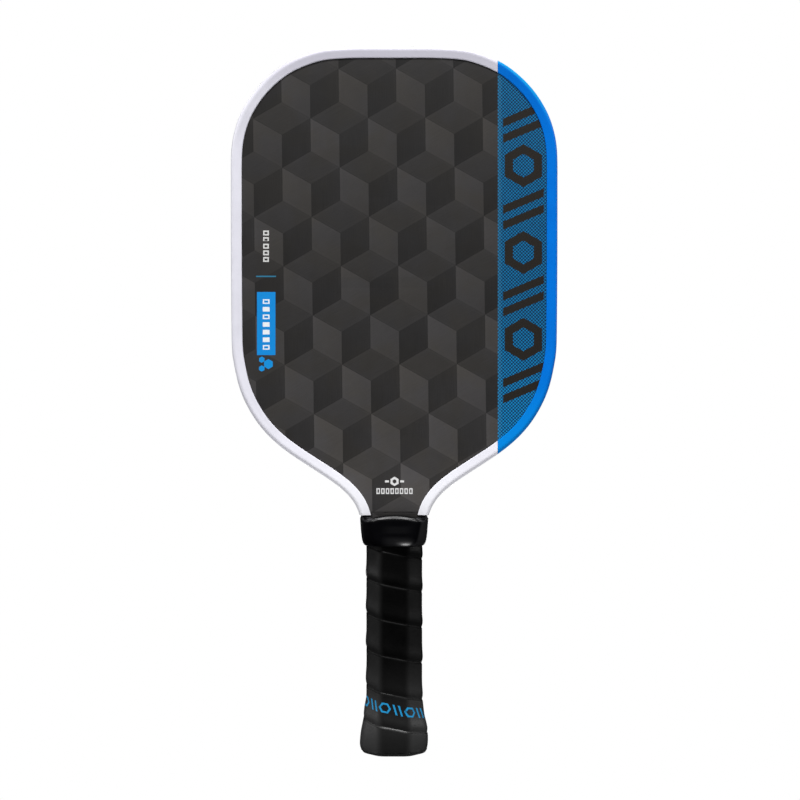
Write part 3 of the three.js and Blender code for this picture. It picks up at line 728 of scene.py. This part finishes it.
def loft(name, rings, material, closed=False):
    """Skin over rings of points: flat caps on both ends, or the last ring joined to the first."""
    verts = [point for ring in rings for point in ring]
    around, count = len(rings[0]), len(rings)
    faces = []
    for i in range(count if closed else count - 1):
        this, following = i * around, ((i + 1) % count) * around
        for j in range(around):
            k = (j + 1) % around
            faces.append((this + j, this + k, following + k, following + j))
    if not closed:
        faces.append(tuple(reversed(range(around))))
        faces.append(tuple((count - 1) * around + j for j in range(around)))
    return new_object(name, verts, faces, material)


def register(piece, node):
    """Fixes the piece to the paddle in place of a CAD node."""
    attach(piece, "root")
    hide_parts(node)


# --------------------------------------------------------------------------------------------
# Edge guard: a channel swept round the head's outline
# --------------------------------------------------------------------------------------------
# Right half of the outline, from the top down: x, z, direction x, direction z
OUTLINE = [
    (0, TOP, 1, 0), (38, TOP - 0.8, 1, -0.09), (55.5, TOP - 5.35, 1, -0.4),
    (68.4, TOP - 12.3, 1, -0.74), (77.6, TOP - 20.25, 1, -1.02), (86.5, TOP - 31.5, 1, -1.6),
    (93.2, TOP - 45.7, 1, -3.2), (96.2, TOP - 62.2, 1, -20), (HALF_W, 338, 0, -1),
    (96, 247, -0.012, -1), (95, 232.1, -0.17, -0.985), (88.5, 208.5, -0.42, -0.91),
    (71.6, 184.9, -0.735, -0.68), (46.8, 167.1, -0.838, -0.546), (30.2, 155.3, -0.75, -0.66),
    (21.4, 143.5, -0.38, -0.925), (19.9, 138.2, -0.22, -0.975), (18.9, 131, -0.08, -0.997),
]
OUTLINE_SPACING = 2.0
HANDLE_SHARE = 0.345  # length of a curve's handles over its chord
GUARD_ROUND = 2.3  # radius of the outer corners
LIP = 6.5  # reach of the lips over the face
LIP_ROUND = 0.55
LIP_DROP = 0.62  # slope of the lips down to their inner edges
WALL = 1.6
FACE_GAP = 0.02


def outline_points():
    """Points down the right side: (x, z, inward normal x, inward normal z)."""
    points = []
    for (x0, z0, dx0, dz0), (x1, z1, dx1, dz1) in zip(OUTLINE, OUTLINE[1:]):
        p0, p3 = Vector((x0, z0)), Vector((x1, z1))
        chord = (p3 - p0).length
        p1 = p0 + Vector((dx0, dz0)).normalized() * (chord * HANDLE_SHARE)
        p2 = p3 - Vector((dx1, dz1)).normalized() * (chord * HANDLE_SHARE)
        count = max(2, int(chord / OUTLINE_SPACING))
        for k in range(count):
            t = k / count
            point = (p0 * (1 - t) ** 3 + p1 * 3 * t * (1 - t) ** 2 + p2 * 3 * t * t * (1 - t)
                     + p3 * t ** 3)
            tangent = ((p1 - p0) * 3 * (1 - t) ** 2 + (p2 - p1) * 6 * t * (1 - t)
                       + (p3 - p2) * 3 * t * t)
            tangent.normalize()
            points.append((point.x, point.y, tangent.y, -tangent.x))
    return points


def guard_section():
    """Closed outline of the channel: (inset, y)."""
    half = []
    for k in range(9):  # outer corner
        angle = k / 8 * math.pi / 2
        half.append((GUARD_ROUND * (1 - math.cos(angle)),
                     GUARD_Y - GUARD_ROUND + GUARD_ROUND * math.sin(angle)))
    for k in range(1, 5):  # the lip's sloping face
        part = k / 5
        half.append((GUARD_ROUND + (LIP - LIP_ROUND - GUARD_ROUND) * part,
                     GUARD_Y - LIP_DROP * part))
    for k in range(6):  # rounded inner edge
        angle = k / 5 * math.pi / 2
        half.append((LIP - LIP_ROUND + LIP_ROUND * math.sin(angle),
                     GUARD_Y - LIP_DROP - LIP_ROUND * (1 - math.cos(angle))))
    half += [(LIP, FACE_Y + FACE_GAP), (WALL, FACE_Y + FACE_GAP)]
    return half + [(inset, -y) for inset, y in reversed(half)]


def swept_guard(name, material):
    """The whole channel, from the lower right end over the top to the lower left end."""
    right_side = outline_points()
    path = right_side[::-1] + [(-x, z, -nx, nz) for x, z, nx, nz in right_side[1:]]
    section = guard_section()
    rings = [[(x + nx * inset, y, z + nz * inset) for inset, y in section]
             for x, z, nx, nz in path]
    verts = [point for ring in rings for point in ring]
    around = len(section)
    faces = []
    for i in range(len(path) - 1):
        for j in range(around):
            a, b = i * around + j, i * around + (j + 1) % around
            faces.append((a, b, b + around, a + around))
    faces.append(tuple(range(around)))
    faces.append(tuple((len(path) - 1) * around + j for j in range(around)))
    return new_object(name, verts, faces, material)


def guard_piece(name, node, material, cut_x, keep_right):
    piece = swept_guard(name, material)
    bisect(piece, (0, 0, TAIL_Z), (0, 0, 1), True)
    bisect(piece, (cut_x, 0, 0), (1, 0, 0), keep_right)
    sharpen(piece, 38)
    bevel = piece.modifiers.new("joint_edges", "BEVEL")
    bevel.width = 0.18 * MM
    bevel.segments = 2
    bevel.limit_method = "ANGLE"
    bevel.angle_limit = math.radians(50)
    register(piece, node)
    return piece


long_white = guard_piece("guard_white_main", "edge_guard_white", WHITE,
                         cut_x=JOINT_X - JOINT_HALF_GAP, keep_right=False)
guard_piece("guard_blue", "edge_guard_blue", BLUE,
            cut_x=JOINT_X + JOINT_HALF_GAP, keep_right=True)
short_white = guard_piece("guard_white_lower", "edge_guard_lower_white", WHITE,
                          cut_x=JOINT_X - JOINT_HALF_GAP, keep_right=False)
# The white sweep cut at the joint leaves two lengths: the long one, and a short one at the
# lower right. Each object keeps one.
ISLAND_SPLIT_X = 20
keep_island(long_white, lambda middle: middle.x < ISLAND_SPLIT_X)
keep_island(short_white, lambda middle: middle.x > ISLAND_SPLIT_X)

# --------------------------------------------------------------------------------------------
# Handle's section, shared by the wrap and the butt cap
# --------------------------------------------------------------------------------------------
HANDLE_X, HANDLE_Y, HANDLE_BEVEL = 14.8, 12.9, 7.4  # half width, half depth, corner cut
CORNER_STEPS = 6
# Growth of the handle towards the butt: height, growth
FLARE = [(34, 0), (27, 0.75), (21, 1.5), (15, 2.6), (11, 3.3), (8, 3.5), (5, 3.4), (2.6, 2.9),
         (0, 1.5)]


def octagon(half_x, half_y, bevel, rounding, flat_steps=4):
    """Rounded octagon, anticlockwise from the right side, as (x, y) points."""
    in_x, in_y = half_x - bevel, half_y - bevel
    corners = [Vector(point) for point in (
        (half_x, -in_y), (half_x, in_y), (in_x, half_y), (-in_x, half_y),
        (-half_x, in_y), (-half_x, -in_y), (-in_x, -half_y), (in_x, -half_y))]
    ends = []
    for i, corner in enumerate(corners):
        back, ahead = corners[i - 1] - corner, corners[(i + 1) % 8] - corner
        cut = min(rounding, back.length * 0.48, ahead.length * 0.48)
        ends.append((corner + back.normalized() * cut, corner + ahead.normalized() * cut))
    points = []
    for i, (start, end) in enumerate(ends):
        for k in range(CORNER_STEPS + 1):
            t = k / CORNER_STEPS
            point = start * (1 - t) ** 2 + corners[i] * 2 * t * (1 - t) + end * t ** 2
            points.append((point.x, point.y))
        following = ends[(i + 1) % 8][0]
        for k in range(1, flat_steps + 1):
            point = end.lerp(following, k / (flat_steps + 1))
            points.append((point.x, point.y))
    return points


def handle_ring(grow, rounding):
    """The handle's section, grown outwards all round."""
    return octagon(HANDLE_X + grow, HANDLE_Y + grow, HANDLE_BEVEL + grow * 0.58,
                   rounding + grow * 0.3)


def flare_at(z):
    """Growth at a height: a Catmull-Rom curve through FLARE, for z of 0 or more."""
    if z >= FLARE[0][0]:
        return 0.0
    i = next(i for i in range(len(FLARE) - 1) if FLARE[i + 1][0] <= z)
    (z0, g0), (z1, g1) = FLARE[i], FLARE[i + 1]
    before = FLARE[i - 1][1] if i > 0 else g0
    after = FLARE[i + 2][1] if i + 2 < len(FLARE) else g1
    m0, m1 = (g1 - before) / 2, (after - g0) / 2
    s = (z0 - z) / (z0 - z1)
    return ((2 * s ** 3 - 3 * s ** 2 + 1) * g0 + (s ** 3 - 2 * s ** 2 + s) * m0
            + (-2 * s ** 3 + 3 * s ** 2) * g1 + (s ** 3 - s ** 2) * m1)


# --------------------------------------------------------------------------------------------
# Grip wrap: one tape wound up the handle, each turn lapping over the one below
# --------------------------------------------------------------------------------------------
TAPE = 1.7  # height of the flat tape over the handle
TAPE_THICKNESS = 1.2
PITCH = 20.5
SEAM_Z = 16.3  # the first seam's height at the middle of the front
WRAP_ROUNDING = 2.2
# Share of the pitch up from the tape's lower edge, height over the flat tape
TAPE_PROFILE = [
    (0.0, -0.42), (0.006, -0.38), (0.02, -0.28), (0.04, -0.10), (0.06, 0.08), (0.08, 0.24),
    (0.10, 0.36), (0.12, 0.45), (0.14, 0.50), (0.165, 0.53), (0.19, 0.53), (0.22, 0.50),
    (0.26, 0.43), (0.31, 0.32), (0.37, 0.20), (0.44, 0.10), (0.53, 0.03), (0.64, 0.0),
    (0.76, 0.0), (0.88, 0.02), (0.935, 0.03), (0.958, 0.0), (0.970, -0.07), (0.980, -0.18),
    (0.990, -0.32)]
# Hand winding, so the turns aren't quite evenly spaced: height, shift
WANDER = [(0, 0), (16.3, 0), (36.8, -1.2), (57.3, 0.1), (77.8, 0.6), (98.3, 1.0),
          (118.8, -0.3), (150, 0)]


def wander(z):
    for (z0, shift0), (z1, shift1) in zip(WANDER, WANDER[1:]):
        if z0 <= z <= z1:
            t = (z - z0) / (z1 - z0)
            return shift0 + (shift1 - shift0) * t * t * (3 - 2 * t)
    return 0.0


def tape_girth():
    """The way round the wrap, the share of it at each point, and at the front's middle."""
    base = handle_ring(TAPE, WRAP_ROUNDING)
    sides = list(zip(base, base[1:] + base[:1]))
    way = [0.0]
    for (x0, y0), (x1, y1) in sides:
        way.append(way[-1] + math.hypot(x1 - x0, y1 - y0))
    girth = way[-1]
    share = [length / girth for length in way]
    for j, ((x0, y0), (x1, _)) in enumerate(sides):
        if y0 < -HANDLE_Y and x0 <= 0 < x1:
            front = share[j] + (share[j + 1] - share[j]) * (0 - x0) / (x1 - x0)
    return girth, share, front


def tape_point(i, j, turn, z, swell):
    """One point of the tape. The overlap's height and line wander a little."""
    around = len(handle_ring(TAPE, WRAP_ROUNDING))
    angle = i / around * math.tau
    wobble = noise.noise(Vector((math.cos(angle) * 1.5, math.sin(angle) * 1.5, turn * 1.7)))
    swell = 0.75 * swell * (1.0 + 0.22 * wobble)
    height = z + 0.35 * wobble + wander(z)
    soft = noise.noise(Vector((math.cos(angle) * 2.2, math.sin(angle) * 2.2, z * 0.08))) * 0.10
    grow = flare_at(max(height, 2.6)) + TAPE + swell + soft
    x, y = handle_ring(grow, WRAP_ROUNDING)[j]
    return -x, y, height


def tape_mesh():
    """The wound strip, longer than the handle's wrap at both ends, with its UV map in metres
    along and tenths of a metre across, and each face's turn."""
    girth, share, front = tape_girth()
    around = len(share) - 1
    start = SEAM_Z - (front + 1) * PITCH
    turns = math.ceil((TAPE_HI + 20 - start) / PITCH) + 1
    steps = turns * around
    lines = len(TAPE_PROFILE)
    verts, places = [], []
    for i in range(steps + 1 + around):
        j, turn = i % around, i // around
        for up, swell in TAPE_PROFILE:
            z = start + (turn + share[j] + up) * PITCH
            verts.append(tape_point(i, j, turn, z, swell))
            places.append(((turn + share[j]) * girth, up * PITCH))
    faces, face_places, face_turns = [], [], []
    for i in range(steps):
        for k in range(lines):
            a, b = i * lines + k, (i + 1) * lines + k
            if k + 1 < lines:
                face = (a, b, b + 1, a + 1)
                corners = [places[n] for n in face]
            else:  # joins the tape's upper edge to the lower edge of the next turn
                face = (a, b, (i + 1 + around) * lines, (i + around) * lines)
                corners = [places[a], places[b], (places[b][0], PITCH), (places[a][0], PITCH)]
            faces.append(face)
            face_places.append(corners)
            face_turns.append(math.floor(i // around + share[i % around] - 0.36))
    mesh = bpy.data.meshes.new("grip_wrap")
    mesh.from_pydata([tuple(c * MM for c in v) for v in verts], [], faces)
    layer = mesh.uv_layers.new(name="UVMap")
    for polygon, corners in zip(mesh.polygons, face_places):
        for loop, (along, across) in zip(polygon.loop_indices, corners):
            layer.data[loop].uv = (along / 1000.0, across / 100.0)
    attribute = mesh.attributes.new("turn", "FLOAT", "FACE")
    for i, turn in enumerate(face_turns):
        attribute.data[i].value = float(turn) - 1.0
    mesh.materials.append(GRIP)
    mesh.shade_smooth()
    return mesh


def grip():
    mesh = tape_mesh()
    piece = bpy.data.objects.new("grip_wrap", mesh)
    bpy.context.scene.collection.objects.link(piece)
    edit = bmesh.new()
    edit.from_mesh(mesh)
    loose = [vert for vert in edit.verts if not vert.link_faces]
    bmesh.ops.delete(edit, geom=loose, context="VERTS")
    for z, keep_above in ((TAPE_LO, True), (TAPE_HI, False)):
        cut_plane(edit, (0, 0, z), (0, 0, 1), keep_above, dist=1e-8)
    bmesh.ops.recalc_face_normals(edit, faces=edit.faces)
    # outward: the face furthest to the right looks right
    far = max(edit.faces, key=lambda face: face.calc_center_median().x)
    if far.normal.x < 0:
        bmesh.ops.reverse_faces(edit, faces=edit.faces)
    edit.to_mesh(mesh)
    edit.free()
    # the tape's own thickness, turned in towards the handle
    solidify = piece.modifiers.new("thickness", "SOLIDIFY")
    solidify.thickness = TAPE_THICKNESS * MM
    solidify.offset = -1.0
    solidify.use_even_offset = False
    register(piece, "grip_tape")


grip()

# --------------------------------------------------------------------------------------------
# Butt cap: the rim under the wrap, and the end
# --------------------------------------------------------------------------------------------
CAP_ROUNDING = 2.4
CAP_INSIDE_GROW = 0.1
CAP_FLOOR_Z, CAP_SKIRT_Z = 5.2, 27.0
RIM_GROW = 4.3
RIM_ROUND = 1.75
END_GROW = 2.5
# Shallow recess in the end: share of the end's size, height
END_RECESS = [(0.93, 0.0), (0.915, 0.12), (0.90, 0.45), (0.80, 0.5), (0.40, 0.5), (0.15, 0.5)]


def butt_cap():
    # inside from the floor up to the skirt's top, down the outside, and out to the rim
    stations = [(CAP_INSIDE_GROW, CAP_FLOOR_Z), (CAP_INSIDE_GROW, CAP_SKIRT_Z)]
    stations += [(grow, z) for z, grow in FLARE[1:-1]]
    stations += [(2.9, 1.84), (4.2, 1.80)]
    for k in range(9):  # rolled rim
        angle = k / 8 * math.pi / 2
        stations.append((RIM_GROW - RIM_ROUND * (1 - math.cos(angle)),
                         RIM_ROUND - RIM_ROUND * math.sin(angle)))
    rings = [[(x, y, z) for x, y in handle_ring(grow, CAP_ROUNDING)] for grow, z in stations]
    for share, z in END_RECESS:
        rings.append([(x * share, y * share, z) for x, y in handle_ring(END_GROW, CAP_ROUNDING)])
    piece = loft("butt_cap_end", rings, CAP)
    sharpen(piece, 40)
    register(piece, "butt_cap")


butt_cap()

# --------------------------------------------------------------------------------------------
# Neck collar: a rubber sleeve from the top of the wrap up to the face
# --------------------------------------------------------------------------------------------
# Height, half width, half depth, corner cut, rounding
COLLAR_SKIN = [
    (122.8, 17.3, 15.4, 6.6, 2.6), (123.5, 18.0, 15.9, 6.4, 2.8), (124.6, 18.6, 16.2, 6.1, 3.0),
    (126.2, 19.0, 16.3, 5.8, 3.0), (128.5, 19.35, 16.2, 5.5, 3.0), (133.0, 19.8, 16.0, 5.0, 3.0),
    (136.6, 20.1, 15.8, 4.6, 3.0), (138.4, 20.1, 15.7, 4.4, 3.0)]
COLLAR_BORE = [
    (122.8, 17.0, 15.1, 7.9, 2.4), (127.7, 17.0, 15.1, 7.9, 2.4), (131.0, 17.5, 12.9, 4.4, 2.0),
    (136.2, 18.95, 9.2, 0.9, 0.4), (138.4, 18.95, 8.05, 0.6, 0.4)]
COLLAR_BASE_Z, LIP_Z = 122.8, 137.2  # lower edge, foot of the top lip
LIFT_Z = 130.0  # the top edge's arch begins to show here
ARCH, LIP_ARCH = 1.7, 2.65  # height of the arch over each face, on the skin and past the lip
SIDE_RISE = 2.0


def stations_at(table, z):
    """Row of a collar table at a height, eased a little between rows."""
    for (z0, *low), (z1, *high) in zip(table, table[1:]):
        if z <= z1:
            t = max(0.0, (z - z0) / (z1 - z0))
            t = t * t * (3 - 2 * t) * 0.35 + t * 0.65
            return [a + (b - a) * t for a, b in zip(low, high)]


def edge_rise(x, y, half_x, half_y, arch):
    """How much higher the top edge is here: an arch over each face, and high sides."""
    across = max(0.0, 1 - (x / 16.2) ** 2)
    face = min(1.0, abs(y) / (half_y * 0.82))
    side = max(0.0, min(1.0, (abs(x) - (half_x - 2.2)) / 1.6))
    side = side * side * (3 - 2 * side)
    return arch * across * face + SIDE_RISE * side


def collar_ring(section, z, lift, arch=ARCH, wrinkle=True):
    half_x, half_y, bevel, rounding = section
    ring = []
    for x, y in octagon(half_x, half_y, bevel, rounding, flat_steps=14):
        height = z + edge_rise(x, y, half_x, half_y, arch) * lift
        # a wrinkle where the collar is stretched over the end of the tape
        if wrinkle and y < -half_y * 0.6:
            y -= 2.15 * math.exp(-((x - 6.8) / 6.0) ** 2 - ((z - 122.6) / 1.7) ** 2)
        ring.append((x, y, height))
    return ring


def lift_at(z):
    return max(0.0, (z - LIFT_Z) / (LIP_Z - LIFT_Z)) ** 1.6


def collar():
    rings = []
    for k in range(27):  # the skin, with rings closest together low down
        z = COLLAR_BASE_Z + (LIP_Z - COLLAR_BASE_Z) * (k / 26) ** 1.25
        rings.append(collar_ring(stations_at(COLLAR_SKIN, z), z, lift_at(z)))
    # the top lip: a slope that leans back, highest over the middle of each face
    half_x, half_y, bevel, rounding = stations_at(COLLAR_SKIN, LIP_Z)
    for k in range(1, 7):
        t = k / 6
        section = [half_x - 0.25 * t, half_y - 0.7 * t, bevel - 0.3 * t, rounding]
        rings.append(collar_ring(section, LIP_Z + 0.25 * t, 1.0, ARCH + 0.95 * t))
    # then rolled over to the bore
    for k in range(1, 7):
        angle = k / 6 * math.pi / 2
        roll = 1 - math.cos(angle)
        section = [half_x - 0.25 - 0.5 * roll, half_y - 0.7 - 3.2 * roll,
                   bevel - 0.3 - 0.3 * roll, rounding]
        rings.append(collar_ring(section, LIP_Z + 0.25 + 0.75 * math.sin(angle), 1.0, LIP_ARCH))
    bore_top = stations_at(COLLAR_BORE, 138.4)
    rings.append(collar_ring([bore_top[0], bore_top[1] + 0.35, 0.8, 0.5], 138.1, 1.0, LIP_ARCH))
    rings.append(collar_ring(bore_top, 137.8, 1.0, LIP_ARCH))
    for z in (136.8, 135.5, 133.5, 131.0, 129.0, 127.7, 125.0, COLLAR_BASE_Z):
        rings.append(collar_ring(stations_at(COLLAR_BORE, z), z, lift_at(z), LIP_ARCH,
                                 wrinkle=False))
    piece = loft("neck_collar_rubber", rings, RUBBER, closed=True)
    sharpen(piece, 60)
    register(piece, "neck_collar")


collar()

# --------------------------------------------------------------------------------------------
# CAD nodes that stay, each with its own material
# --------------------------------------------------------------------------------------------
NODE_MATERIALS = {
    "front_face_sheet": FRONT, "rear_face_sheet": REAR, "honeycomb_core": HONEY,
    "perimeter_foam": FOAM, "handle_shell_front": SHELL, "handle_shell_rear": SHELL,
    "finishing_tape": FILM, "butt_cap_staple_front": STEEL, "butt_cap_staple_rear": STEEL,
    "grip_start_staple": STEEL,
}
for node_name, material in NODE_MATERIALS.items():
    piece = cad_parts[node_name]
    if not piece.material_slots:
        piece.data.materials.append(material)
    for material_slot in piece.material_slots:
        material_slot.material = material

# --------------------------------------------------------------------------------------------
# Studio, in metres
# --------------------------------------------------------------------------------------------
scene = bpy.context.scene
scene.view_settings.view_transform = "Standard"
scene.view_settings.look = "None"
scene.view_settings.exposure = 0.0
scene.view_settings.gamma = 1.0
# keeps the printed dots, which are finer than the clean-up filter
scene.cycles.denoising_prefilter = "NONE"


def camera_switch(tree, lighting, seen, output):
    """Shows the camera one shader and every other ray another."""
    mix = add_node(tree, "ShaderNodeMixShader")
    rays = add_node(tree, "ShaderNodeLightPath")
    tree.links.new(rays.outputs["Is Camera Ray"], mix.inputs[0])
    tree.links.new(lighting.outputs[0], mix.inputs[1])
    tree.links.new(seen.outputs[0], mix.inputs[2])
    tree.links.new(mix.outputs[0], output.inputs["Surface"])


def studio_world():
    """White to the camera, and a dim, slightly blue fill to everything else."""
    world = bpy.data.worlds.new("studio")
    scene.world = world
    world.use_nodes = True
    tree = world.node_tree
    tree.nodes.clear()
    output = add_node(tree, "ShaderNodeOutputWorld")
    seen = add_node(tree, "ShaderNodeBackground", Color=(1, 1, 1, 1), Strength=1.0)
    fill = add_node(tree, "ShaderNodeBackground", Color=(0.97, 0.97, 1.0, 1), Strength=0.03)
    camera_switch(tree, fill, seen, output)


def studio_floor():
    """Pale and plain, well below the paddle, and white to the camera."""
    material = bpy.data.materials.new("floor_pale")
    material.use_nodes = True
    tree = material.node_tree
    tree.nodes.clear()
    output = add_node(tree, "ShaderNodeOutputMaterial")
    pale = add_node(tree, "ShaderNodeBsdfDiffuse", Color=(0.56, 0.56, 0.565, 1))
    white = add_node(tree, "ShaderNodeEmission", Color=(1, 1, 1, 1), Strength=1.0)
    camera_switch(tree, pale, white, output)
    edit = bmesh.new()
    bmesh.ops.create_grid(edit, x_segments=8, y_segments=8, size=12.0)
    mesh = bpy.data.meshes.new("floor")
    edit.to_mesh(mesh)
    edit.free()
    floor = bpy.data.objects.new("floor", mesh)
    floor.location = (0, 0, -0.95)
    floor.visible_glossy = False  # keeps the dark, glossy handle free of its reflection
    mesh.materials.append(material)
    scene.collection.objects.link(floor)


def area(name, place, aim, width, height, power, diffuse=True, glossy=True):
    light = bpy.data.lights.new(name, "AREA")
    light.energy = power
    light.shape = "RECTANGLE"
    light.size = width
    light.size_y = height
    lamp = bpy.data.objects.new(name, light)
    lamp.location = place
    lamp.rotation_euler = (Vector(aim) - Vector(place)).to_track_quat("-Z", "Y").to_euler()
    lamp.visible_diffuse = diffuse
    lamp.visible_glossy = glossy
    scene.collection.objects.link(lamp)


def studio_lights():
    middle, handle = (0, 0, 0.22), (0, 0, 0.1)
    area("key_top", (-0.1, -3.4, 7.8), middle, width=4.1, height=1.45, power=1060.0)
    # these three only shine in dark glossy parts
    area("left_strip", (-1.25, -0.05, 0.72), handle, width=0.9, height=1.0, power=12.0,
         diffuse=False)
    area("right_strip", (1.25, -0.05, 0.72), handle, width=0.9, height=1.0, power=9.0,
         diffuse=False)
    area("front_glow", (0.0, -2.3, 1.25), handle, width=1.0, height=0.6, power=4.5,
         diffuse=False)
    area("back_top", (0.3, 2.6, 4.2), middle, width=1.6, height=1.6, power=190.0)
    area("back_soft", (0.0, 2.2, 0.25), middle, width=1.0, height=1.0, power=20.0)
    area("front_fill", (-0.3, -2.6, 0.35), middle, width=1.0, height=1.0, power=1.5,
         glossy=False)


def studio_camera():
    """Level, in front of the paddle."""
    lens = bpy.data.cameras.new("camera")
    lens.sensor_width = 36.0
    lens.lens = 68.06
    camera = bpy.data.objects.new("camera", lens)
    camera.location = (0.00342, -0.9, 0.2085)
    camera.rotation_euler = (math.radians(90), 0, 0)
    scene.collection.objects.link(camera)
    scene.camera = camera


studio_world()
studio_floor()
studio_lights()
studio_camera()
